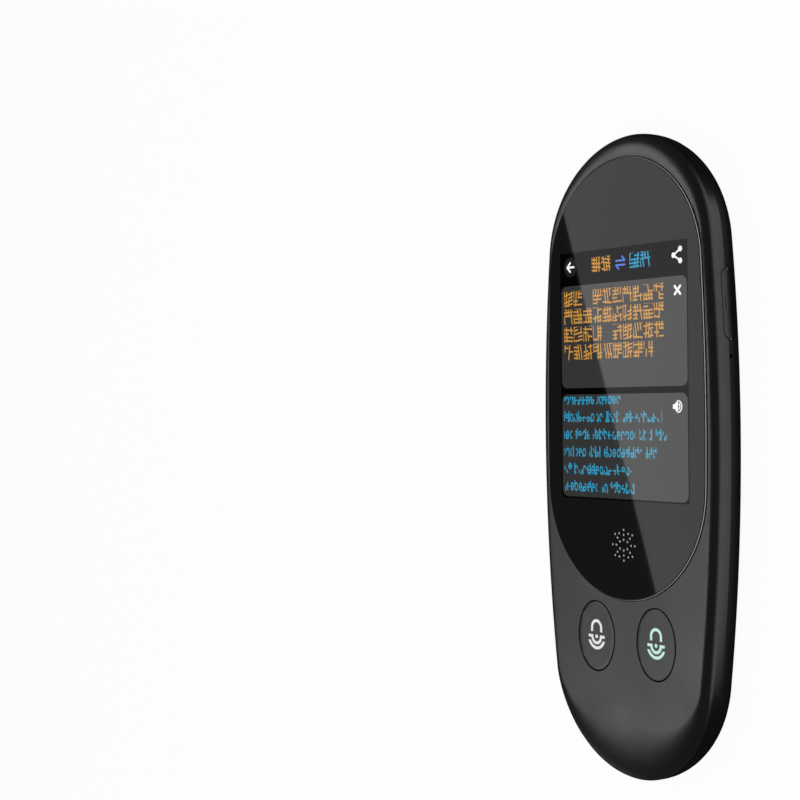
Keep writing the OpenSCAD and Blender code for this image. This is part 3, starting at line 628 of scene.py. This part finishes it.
def quarter(steps):
    return [math.pi / 2 * i / steps for i in range(steps + 1)]


def roundedEdge(edge, top, steps):
    return [(edge * (1 - math.cos(angle)), top - edge * (1 - math.sin(angle))) for angle in quarter(steps)]


def ovalPlug(name, oval, stations, slot, columns=buttonColumns):
    # solid over one oval, from foot to top; stations are (inset, height), both ends close along a spine
    sizes = named(oval, "Oval")
    for i, (inset, height) in enumerate(stations):
        sizes[f"Inset {i}"], sizes[f"Height {i}"] = inset, height

    def shape(graph, given):
        line = ovalEdge(graph, given, "Oval", ovalTurn(graph, columns))
        rings = [ring(line, given[f"Inset {i}"], given[f"Height {i}"]) for i in range(len(stations))]
        foot = line["spine"] + graph.xyz(0.0, 0.0, given["Height 0"])
        top = line["spine"] + graph.xyz(0.0, 0.0, given[f"Height {len(stations) - 1}"])
        return loft(graph, [foot, *rings, top], columns)
    return grow(name, sizes, shape, slot)


shell = {
    "Seam": 6.8, "Front": 11.3, "Wall": 1.4, "Floor": 1.3, "Ceiling": 9.5, "Ledge": 10.4, "Edge break": 0.07,
    "Side round": 2.0, "Side fall": 2.0, "Top round": 5.0, "Top fall": 3.6,
    "Chin round": 17.0, "Chin fall": 3.2,
    "Glass gap": 0.15, "Window half": 23.3, "Window low": -13.25, "Window top": 49.35,
}
# inner roundings at the side, the top and the chin, and the softened lip round the glass
inside = {"width": (1.0, 3.6, 15.6), "fall": (1.0, 2.4, 2.0), "lip": 0.12, "softLip": 0.04}


def turnedSize(line, side, top, chin):
    up, down = line["s"].calc("MAXIMUM", 0.0), (line["s"] * -1).calc("MAXIMUM", 0.0)
    return side + (top - side) * up * up + (chin - side) * down * down


def housingShape(graph, g):
    turn = ovalTurn(graph, shellColumns)
    line, pane = ovalEdge(graph, g, "Body", turn), ovalEdge(graph, g, "Glass", turn)
    width = turnedSize(line, g["Side round"], g["Top round"], g["Chin round"])
    fall = turnedSize(line, g["Side fall"], g["Top fall"], g["Chin fall"])
    inWidth = turnedSize(line, *inside["width"])
    inFall = turnedSize(line, *inside["fall"])
    # the display's window, met by rays from its middle; least keeps the divisions finite
    least = 0.001
    middle = (g["Window low"] + g["Window top"]) / 2
    rayX, rayY = pane["x"], pane["y"] - middle
    reachX = g["Window half"] / abs(rayX).calc("MAXIMUM", least)
    reachY = (g["Window top"] - middle) / abs(rayY).calc("MAXIMUM", least)
    reach = reachX.calc("MINIMUM", reachY)
    window = {"edge": graph.xyz(rayX * reach, middle + rayY * reach), "out": graph.xyz()}
    rings = [ring(line, g["Edge break"], g["Seam"]),
             ring(line, 0.0, g["Seam"] + g["Edge break"])]
    for angle in quarter(10):
        height = g["Front"] - fall * (1 - math.sin(angle))
        rings.append(ring(line, width * (1 - math.cos(angle)), height))
    lip, soft, gap = inside["lip"], inside["softLip"], g["Glass gap"] * -1
    rings += [ring(pane, gap - lip, g["Front"]),
              ring(pane, gap - soft, g["Front"] - soft),
              ring(pane, gap, g["Front"] - lip),
              ring(pane, gap, g["Ledge"]),
              ring(window, 0.0, g["Ledge"]),
              ring(window, 0.0, g["Ceiling"])]
    for angle in reversed(quarter(4)):
        height = g["Ceiling"] - inFall * (1 - math.sin(angle))
        rings.append(ring(line, g["Wall"] + inWidth * (1 - math.cos(angle)), height))
    rings += [ring(line, g["Wall"], g["Seam"]), rings[0]]
    return loft(graph, rings, shellColumns)


def coverShape(graph, g):
    line = ovalEdge(graph, g, "Body", ovalTurn(graph, shellColumns))
    hollow = g["Seam"] - g["Floor"]
    rings = [line["spine"]]
    outer = [(g["Seam"] * (1 - math.sin(angle)), g["Seam"] * (1 - math.cos(angle))) for angle in quarter(12)]
    rings += [ring(line, inset, height) for inset, height in outer[:-1]]
    rings.append(ring(line, outer[-1][0], outer[-1][1] - g["Edge break"]))
    rings += [ring(line, g["Edge break"], g["Seam"]), ring(line, g["Wall"], g["Seam"])]
    for angle in reversed(quarter(5)):
        height = g["Floor"] + hollow * (1 - math.cos(angle))
        rings.append(ring(line, g["Wall"] + hollow * (1 - math.sin(angle)), height))
    rings.append(line["spine"] + graph.xyz(0.0, 0.0, g["Floor"]))
    return loft(graph, rings, shellColumns)


# cutters and posts, as prisms

def prisms(name, parts):
    # each part is (outline, low, high, place): the outline lies across the place's own Z
    shapeUp = bmesh.new()
    for outline, low, high, place in parts:
        ends = []
        for height in (low, high):
            ends.append([shapeUp.verts.new((place @ Vector((x, y, height))) * mm) for x, y in outline])
        count = len(outline)
        shapeUp.faces.new(ends[0])
        shapeUp.faces.new(ends[1])
        for i in range(count):
            j = (i + 1) % count
            shapeUp.faces.new((ends[0][i], ends[0][j], ends[1][j], ends[1][i]))
    bmesh.ops.recalc_face_normals(shapeUp, faces=shapeUp.faces)
    return fromShape(name, shapeUp)


def circle(radius, steps=32):
    angles = [2 * math.pi * i / steps for i in range(steps)]
    return [(radius * math.cos(angle), radius * math.sin(angle)) for angle in angles]


def stadium(length, width, steps=14):
    half, r = (length - width) / 2, width / 2
    arcs = []
    for side in (1, -1):
        for i in range(steps + 1):
            angle = math.pi * i / steps - math.pi / 2
            arcs.append((side * (half + r * math.cos(angle)), side * r * math.sin(angle)))
    return arcs


def rectangle(x0, x1, y0, y1):
    return [(x0, y0), (x1, y0), (x1, y1), (x0, y1)]


# turns a place: its X lies along what was Y, its Y along Z and its Z along X
nextAxes = Matrix(((0, 0, 1, 0), (1, 0, 0, 0), (0, 1, 0, 0), (0, 0, 0, 1)))


def onSide(y, side=1, height=0.0):
    # a place on the side wall: its X runs along the wall, its Y up, its Z outwards
    end, middle = ("topRadius", "topMiddle") if y >= body["widest"] else ("lowRadius", "lowMiddle")
    big = sideRadius(body["half"], body[end], abs(body[middle] - body["widest"]))
    turn = math.asin((y - body["widest"]) / big)
    wall = (big * math.cos(turn) - big + body["half"], y, height)
    place = Matrix.Translation(wall) @ Matrix.Rotation(turn, 4, "Z") @ nextAxes
    return Matrix.Scale(-1, 4, (1, 0, 0)) @ place if side < 0 else place


def join(piece, others, operation):
    for other in others:
        other.data.materials.clear()
        other.data.materials.append(piece.data.materials[0])
        change = piece.modifiers.new("change", "BOOLEAN")
        change.operation, change.solver, change.object = operation, "MANIFOLD", other
    settle(piece)
    for other in others:
        bpy.data.objects.remove(other)


def smooth(piece, angle=32, weighted=True):
    piece.data.shade_smooth()
    piece.data.set_sharp_from_angle(angle=math.radians(angle))
    if weighted:
        normals = piece.modifiers.new("weighted", "WEIGHTED_NORMAL")
        normals.keep_sharp = True
    return piece


def dress(piece, slot, owner, *standsFor):
    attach(piece, owner)
    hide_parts(*standsFor)


def upright(x, y):
    return Matrix.Translation((x, y, 0.0))


proud = 2  # how far the side walls' cutters stand out of them
# what is in the side walls: places along them, outlines, and depths from the outside
sides = {
    "height": 6.4, "door": 33.3, "reset": 22.0, "keys": (8.0, 26.0, 38.0),
    "doorLength": 15.46, "doorWidth": 3.82, "doorDeep": 1.05, "resetRadius": 0.5, "resetDeep": 6,
    "keyLength": 9.1, "keyWidth": 2.5, "keyDeep": 3,
    "pocketLength": 10.4, "pocketWidth": 3.8, "pocket": (-3.8, -2.2),
    "slot": 12.4, "slotLow": 6.75, "slotHigh": 7.55, "slotDepths": (-5, -0.5),
    "barrel": 1.55, "pinDrop": 0.35, "pinDepth": 0.45,
    "doorFrame": 9.5, "resetFrame": 2.0, "keyFrame": 5.7, "keysFrame": 11.7, "frame": (-2.8, -1.2),
}
# posts on both sides of the middle: x, y and radius
posts = {"top": (14.0, 57.0, 2.4), "low": (12.0, -60.0, 2.4),
         "mid": (20.5, -20.05, 2.2), "foot": (20.5, -32.55, 2.2)}
# what stands or is cut there: heights and, if it isn't the post's own, radius
pillar = {"post": (6.6, 9.8), "bore": (5.6, 8.8, 1.3)}
stand = {"post": (1.0, 5.8), "sink": (-1, 0.95, 1.65), "shank": (0.5, 7, 0.95)}
# heights of the walls' thick places in each shell
frames = {"front": (6.81, 9.15), "rear": (3.65, 6.79)}
# holes through the ends, for the charging socket and the microphones
ends = {"socket": (9.14, 3.46), "socketHeight": 4.17, "socketFrom": 64.2,
        "hole": 0.5, "holeX": 9, "holeHeight": 4.2, "holeFrom": 68, "past": 80}
soundOpening = {"radius": 5.1, "heights": (8.5, 11.0)}


def sideCutters(name):
    s = sides
    height, seat = s["height"], onSide(s["door"])
    door, reset = onSide(s["door"], 1, height), onSide(s["reset"], 1, height)
    keys = [onSide(y, -1, height) for y in s["keys"]]
    first = [(stadium(s["doorLength"], s["doorWidth"], 28), -s["doorDeep"], proud, door),
             (circle(s["resetRadius"], 24), -s["resetDeep"], proud, reset)]
    first += [(stadium(s["keyLength"], s["keyWidth"]), -s["keyDeep"], proud, key) for key in keys]
    pockets = [(stadium(s["pocketLength"], s["pocketWidth"]), *s["pocket"], key) for key in keys]
    slit = rectangle(-s["slot"] / 2, s["slot"] / 2, s["slotLow"], s["slotHigh"])
    # room for the door to swing about its pin, half a bar along the wall
    reach, pin, barrel = s["doorLength"] / 2, height - s["pinDrop"], s["barrel"]
    swing = []
    for i in range(17):
        angle = math.pi * i / 16
        swing.append((pin + barrel * math.cos(angle), -s["pinDepth"] - barrel * math.sin(angle)))
    return [prisms(name + "Sides", first),
            prisms(name + "Slit", [(slit, *s["slotDepths"], seat)]),
            prisms(name + "Pockets", pockets),
            prisms(name + "Swing", [(swing, -reach, reach, seat @ nextAxes)])]


def wallFrames(name, low, high):
    # thick places of the wall behind the door, the reset hole and the keys
    near, *rest = sides["keys"]
    spots = [(sides["door"], 1, sides["doorFrame"]), (sides["reset"], 1, sides["resetFrame"]),
             (near, -1, sides["keyFrame"]), (sum(rest) / len(rest), -1, sides["keysFrame"])]
    return prisms(name, [(rectangle(-reach, reach, low, high), *sides["frame"], onSide(y, side))
                         for y, side, reach in spots])


def posted(where, low, high, radius=None):
    parts = []
    for x, y, own in [posts[spot] for spot in where]:
        parts += [(circle(radius or own), low, high, upright(side * x, y)) for side in (1, -1)]
    return parts


shellSizes = {**shell, **named(body, "Body")}
housing = grow("frontHousing", {**shellSizes, **named(glass, "Glass")}, housingShape, "housing_plastic")
pillars = prisms("pillars", posted(posts, *pillar["post"]))
join(housing, [pillars, wallFrames("frontFrames", *frames["front"])], "UNION")

# the talk buttons' mouths in the housing: stations are (inset, height)
talk = {"x": 10.05, "y": -41.6}
mouthStations = [(-0.15, 6.5), (-0.15, 11.16), (-0.2, 11.24), (-0.35, 11.36)]


def toTalk(piece, side):
    piece.data.transform(Matrix.Translation((side * talk["x"] * mm, talk["y"] * mm, 0)))
    return piece


mouths = []
for side in (-1, 1):
    mouths.append(toTalk(ovalPlug(f"mouth{side}", button, mouthStations, "button_plastic"), side))
opening = (circle(soundOpening["radius"], 48), *soundOpening["heights"], upright(0, posts["mid"][1]))
openings = prisms("openings", [*posted(posts, *pillar["bore"]), opening])
join(housing, [openings, *mouths, *sideCutters("front")], "DIFFERENCE")
dress(smooth(housing), "housing_plastic", "root", "front_housing")

cover = grow("rearCover", shellSizes, coverShape, "rear_plastic")
screwed = ("top", "low")
stands = prisms("stands", posted(screwed, *stand["post"]))
join(cover, [stands, wallFrames("rearFrames", *frames["rear"])], "UNION")


def endways(x, height):
    # a place whose Z runs towards the chin
    return Matrix.Translation((x, 0, height)) @ Matrix.Rotation(math.pi / 2, 4, "X")


hole = circle(ends["hole"], 20)
holes = [(stadium(*ends["socket"]), ends["socketFrom"], ends["past"], endways(0, ends["socketHeight"])),
         (hole, ends["holeFrom"], ends["past"], endways(ends["holeX"], ends["holeHeight"])),
         (hole, -ends["past"], -ends["holeFrom"], endways(0, ends["holeHeight"]))]
sinks = prisms("sinks", posted(screwed, *stand["sink"]))
shanks = prisms("shanks", posted(screwed, *stand["shank"]))
join(cover, [sinks, shanks, prisms("holes", holes), *sideCutters("rear")], "DIFFERENCE")
dress(smooth(cover), "rear_plastic", "root", "rear_cover")

print("stage: glass and buttons")

pane = {"foot": 10.6, "top": 11.7, "edge": 0.32, "lowEdge": 0.1}
# one quarter of the sound holes, ring by ring, from the middle of the pattern
soundHoles = {"spots": [(0, 1.21), (1.25, 0.8), (2.5, 0), (2.1, 1.6), (0, 2.34),
                        (0, 3.46), (3.72, 0), (2.9, 2.4), (1.5, 2.65)],
              "y": -20.05, "radius": 0.3, "heights": (10, 12)}
stations = [(pane["lowEdge"], pane["foot"]), (0.0, pane["foot"] + pane["lowEdge"])]
stations += roundedEdge(pane["edge"], pane["top"], 6)
coverGlass = ovalPlug("coverGlass", glass, stations, "cover_glass", shellColumns)
spots = []
for x, y in soundHoles["spots"]:
    for sx in (-1, 1) if x else (1,):
        for sy in (-1, 1) if y else (1,):
            spots.append((sx * x, soundHoles["y"] + sy * y))
tube = circle(soundHoles["radius"], 20)
bored = [(tube, *soundHoles["heights"], upright(x, y)) for x, y in spots]
join(coverGlass, [prisms("soundHoles", bored)], "DIFFERENCE")
dress(smooth(coverGlass), "cover_glass", "root", "cover_glass")

cap = {"edge": 0.16, "face": 11.3, "dish": 0.03, "flange": 8.75, "flangeTop": 9.45, "lip": 0.95, "foot": 8.05,
       "stem": 3.7, "dishRings": (1.2, 2.6), "dishPart": 0.6}
stations = [(cap["stem"], cap["foot"]), (cap["stem"], cap["flange"]), (-cap["lip"], cap["flange"]),
            (-cap["lip"], cap["flangeTop"]), (0.0, cap["flangeTop"])]
stations += roundedEdge(cap["edge"], cap["face"], 4)
stations += [(cap["dishRings"][0], cap["face"] - cap["dish"] * cap["dishPart"]),
             (cap["dishRings"][1], cap["face"] - cap["dish"])]
for side, hand in ((-1, "Left"), (1, "Right")):
    node = "talk_button_" + hand.lower()
    piece = toTalk(ovalPlug("talkButton" + hand, button, stations, "button_plastic"), side)
    dress(smooth(piece), "button_plastic", node, node)

print("stage: small parts")


def cylinder(graph, vertices, radius, depth):
    values = {"Vertices": vertices, "Radius": radius, "Depth": depth}
    return graph.node("GeometryNodeMeshCylinder", None, values, "Mesh")


def shifted(graph, geometry, place, scale=(1.0, 1.0, 1.0)):
    values = {"Geometry": geometry, "Translation": place, "Scale": scale}
    return graph.node("GeometryNodeTransform", None, values)


def studShape(graph, given):
    # gauze pressed up into each sound hole: a short post with a low dome, on a disc
    post = cylinder(graph, 14, given["Radius"], given["Height"])
    ball = graph.node("GeometryNodeMeshUVSphere", None,
                      {"Segments": 14, "Rings": 8, "Radius": given["Radius"]}, "Mesh")
    dome = shifted(graph, ball, graph.xyz(0.0, 0.0, given["Height"] * 0.5), domeScale)
    stud = graph.node("GeometryNodeJoinGeometry", None, {0: [post, dome]})
    placed = graph.node("GeometryNodeInstanceOnPoints", None, {"Points": given["Points"], "Instance": stud})
    disc = cylinder(graph, 64, given["Disc"], given["Disc height"])
    below = shifted(graph, disc, graph.xyz(0.0, given["Disc y"], given["Disc z"]))
    return graph.node("GeometryNodeJoinGeometry", None, {0: [placed, below]})


studs = {"Radius": 0.27 * mm, "Height": 1.2 * mm,
         "Disc": 5.0 * mm, "Disc height": 0.25 * mm, "Disc y": -20.05 * mm, "Disc z": 10.475 * mm}
domeScale = (1.0, 1.0, 0.25)
studMiddle = 10.95  # height of the posts' middles
gauze = grow("soundGauze", studs, studShape, "mesh", [(x, y, studMiddle) for x, y in spots])
dress(smooth(gauze, 40, False), "mesh", "root", "speaker_mesh")


def cleaned(name, node, width):
    # a node's own shape with merged corners and softened edges
    flat, sharp = 1, 35  # degrees between faces that are merged, and between those with an edge
    shapeUp = bmesh.new()
    shapeUp.from_mesh(nodes[node].data)
    bmesh.ops.remove_doubles(shapeUp, verts=shapeUp.verts, dist=weld)
    bmesh.ops.dissolve_limit(shapeUp, angle_limit=math.radians(flat), verts=shapeUp.verts,
                             edges=shapeUp.edges)
    piece = fromShape(name, shapeUp)
    piece.data.materials.append(nodes[node].material_slots[0].material)
    soft = piece.modifiers.new("soft", "BEVEL")
    soft.width, soft.segments = width * mm, 2
    soft.limit_method, soft.angle_limit = "ANGLE", math.radians(sharp)
    soft.use_clamp_overlap = True
    return smooth(piece, sharp, False)


for name, node, slot, owner, width in (
        ("cardDoor", "card_door", "housing_plastic", "card_door", 0.06),
        ("powerKey", "power_key", "button_plastic", "power_key", 0.07),
        ("volumeUpKey", "volume_up_key", "button_plastic", "volume_up_key", 0.07),
        ("volumeDownKey", "volume_down_key", "button_plastic", "volume_down_key", 0.07),
        ("chargingSocket", "usb_socket", "sheet_steel", "root", 0.05),
        ("socketTongue", "usb_tongue", "black_parts", "root", 0.05),
        ("housingScrews", "housing_screws", "screw_steel", "root", 0.04)):
    dress(cleaned(name, node, width), slot, owner, node)


def contactShape(graph, given):
    # gold contacts in a row on both faces of the tongue
    size = graph.xyz(given["Width"], given["Length"], given["Thickness"])
    bar = graph.node("GeometryNodeMeshCube", None, {"Size": size}, "Mesh")
    return graph.node("GeometryNodeInstanceOnPoints", None, {"Points": given["Points"], "Instance": bar})


contacts = {"Width": 0.28 * mm, "Length": 3.6 * mm, "Thickness": 0.04 * mm}
tongue = {"count": 12, "pitch": 0.5, "y": -67.9, "height": 4.17, "half": 0.36}
tongueSpots = []
for i in range(tongue["count"]):
    x = (i - (tongue["count"] - 1) / 2) * tongue["pitch"]
    for side in (-1, 1):
        tongueSpots.append((x, tongue["y"], tongue["height"] + side * tongue["half"]))
contactRow = grow("socketContacts", contacts, contactShape, "brass", tongueSpots)
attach(contactRow, "root")

print("stage: floor, light and camera")

# metres and watts; cards, flag and tent are there for reflections alone, and the shadow sheet is a painted
# shadow of the floor near the object, also seen in reflections alone
studio = {
    "floor": 6.0, "ownWhite": 0.95, "world": 0.5,
    "cardX": -0.6, "cardFrom": -0.36, "cardTo": 0.62, "cardSlope": -0.3146, "cardMiddle": 0.5345,
    "cardTop": 0.76, "cardGlow": 3.0,
    "lowX": -0.598, "lowFrom": -0.34, "lowTo": -0.185, "lowFoot": 0.47, "lowGlow": 3.4,
    "flagAndShadowGlow": 0.02, "foot": 0.01,
    "tent": 1.4, "tentGlow": 0.07, "sidesLow": 0.8, "endsLow": 0.05, "tentFade": 0.3,
    "softboxWidth": 0.67, "softboxLength": 0.9, "softboxAt": (0.45, -0.1, 0.8), "softboxTurn": 30.0,
    "softboxPower": 5.0,
}
# outline of the shadow sheet round the object, millimetres: near its right side and wide past both ends; it
# is painted shadow, the floor's shade by the object as seen in reflections
spread = {"height": 0.3, "outline": [
    (34.2, -31), (34.5, -20), (35.0, 20), (34.0, 40), (31.5, 53), (29.5, 60), (34, 70), (200, 600),
    (-600, 1200), (-600, -400), (400, -400), (90, -90), (45, -62), (35.2, -53), (34.2, -42)]}
camera = {"lens": 76.22, "sensor": 36.0, "near": 0.01, "far": 50.0, "at": (0.290243, 0.011323, 0.268228),
          "turn": (-0.42383, 55.99957, -0.86745)}


def seenRays(graph):
    # 1 for rays of the camera, in reflections and through glass
    path = graph.node("ShaderNodeLightPath", None, None, "Is Camera Ray")
    return path.calc("MAXIMUM", path.out("Is Glossy Ray")).calc("MAXIMUM", path.out("Is Transmission Ray"))


def glowing(graph, colour=(1.0, 1.0, 1.0, 1.0), strength=1.0):
    return graph.node("ShaderNodeEmission", None, {"Color": colour, "Strength": strength})


def floorPaint(graph, place):
    # white sheet; most of what is seen of it is its own white, and the rest keeps the shadow
    seen = seenRays(graph)
    cloth = graph.node("ShaderNodeBsdfDiffuse", None, {"Color": (0.82, 0.82, 0.82, 1.0)})
    share = seen * studio["ownWhite"]
    return graph.node("ShaderNodeMixShader", None, {0: share, 1: cloth, 2: glowing(graph)})


def glowCloth(name, strength):
    def paint(graph, place):
        return glowing(graph, strength=strength)
    return surface(name, paint)


def tentPaint(dim, pale):
    # cloth that changes from pale at the horizon to dim above
    def paint(graph, place):
        x, y, z = graph.split(place)
        low = (z * -1 / studio["tentFade"] + 1).calc("MAXIMUM", 0.0)
        return glowing(graph, shades(low, (dim, dim, dim), (pale, pale, pale)))
    return paint


def sheet(name, corners, finish):
    mesh = bpy.data.meshes.new(name)
    mesh.from_pydata(corners, [], [tuple(range(len(corners)))])
    mesh.materials.append(finish)
    piece = newObject(name, mesh)
    return piece


def cardEdge(along):
    return studio["cardMiddle"] + along * studio["cardSlope"]


def hanging(name, x, start, stop, heights, finish):
    # a sheet across the view; heights are (foot, top) at its start, then at its stop
    (foot, top), (farFoot, farTop) = heights
    return sheet(name, [(x, start, foot), (x, stop, farFoot), (x, stop, farTop), (x, start, top)], finish)


def square(half, height):
    return [(-half, -half, height), (half, -half, height), (half, half, height), (-half, half, height)]


sheet("floor", square(studio["floor"], 0), surface("whiteSheet", floorPaint))
start, stop, top, foot = studio["cardFrom"], studio["cardTo"], studio["cardTop"], studio["foot"]
cloths = [
    hanging("whiteCard", studio["cardX"], start, stop, ((cardEdge(start), top), (cardEdge(stop), top)),
            glowCloth("glowingCard", studio["cardGlow"])),
    hanging("lowCard", studio["lowX"], studio["lowFrom"], studio["lowTo"],
            [(studio["lowFoot"], cardEdge(studio[end])) for end in ("lowFrom", "lowTo")],
            glowCloth("lowGlowingCard", studio["lowGlow"])),
    hanging("darkFlag", studio["cardX"], start, stop, ((foot, cardEdge(start)), (foot, cardEdge(stop))),
            glowCloth("darkFlag", studio["flagAndShadowGlow"])),
]
lower, upper = square(studio["tent"], foot), square(studio["tent"], studio["tent"])
for i in range(4):
    pale = studio["endsLow"] if i % 2 else studio["sidesLow"]
    finish = surface("tentCloth", tentPaint(studio["tentGlow"], pale))
    cloths.append(sheet(f"tentWall{i}", [lower[i], lower[i - 1], upper[i - 1], upper[i]], finish))
cloths.append(sheet("tentRoof", upper, glowCloth("tentCloth", studio["tentGlow"])))
# painted shadow: a dim sheet round the object, seen only in reflections, standing in for the floor's shade
# beside it
cloths.append(sheet("shadowSheet", [(x * mm, y * mm, spread["height"] * mm) for x, y in spread["outline"]],
                    glowCloth("shadowSheet", studio["flagAndShadowGlow"])))
for cloth in cloths:
    for ray in ("camera", "diffuse", "shadow", "transmission"):
        setattr(cloth, "visible_" + ray, False)

softLight = bpy.data.lights.new("softbox", "AREA")
softLight.shape = "RECTANGLE"
softLight.size = studio["softboxWidth"]
softLight.size_y = studio["softboxLength"]
softLight.energy = studio["softboxPower"]
softbox = newObject("softbox", softLight)
softbox.location = studio["softboxAt"]
softbox.rotation_euler = (0.0, math.radians(studio["softboxTurn"]), 0.0)
softbox.visible_glossy = False

world = bpy.data.worlds.new("studio")
bpy.context.scene.world = world
sky = cleared(world)
level = seenRays(sky) * (1.0 - studio["world"]) + studio["world"]
backdrop = sky.node("ShaderNodeBackground", None, {"Color": (1.0, 1.0, 1.0, 1.0), "Strength": level})
sky.node("ShaderNodeOutputWorld", None, {"Surface": backdrop})

lens = bpy.data.cameras.new("view")
lens.lens, lens.sensor_width = camera["lens"], camera["sensor"]
lens.clip_start, lens.clip_end = camera["near"], camera["far"]
view = newObject("view", lens)
view.location = camera["at"]
view.rotation_euler = [math.radians(angle) for angle in camera["turn"]]
bpy.context.scene.camera = view
bpy.context.scene.view_settings.view_transform = "Standard"

print("stage: done")
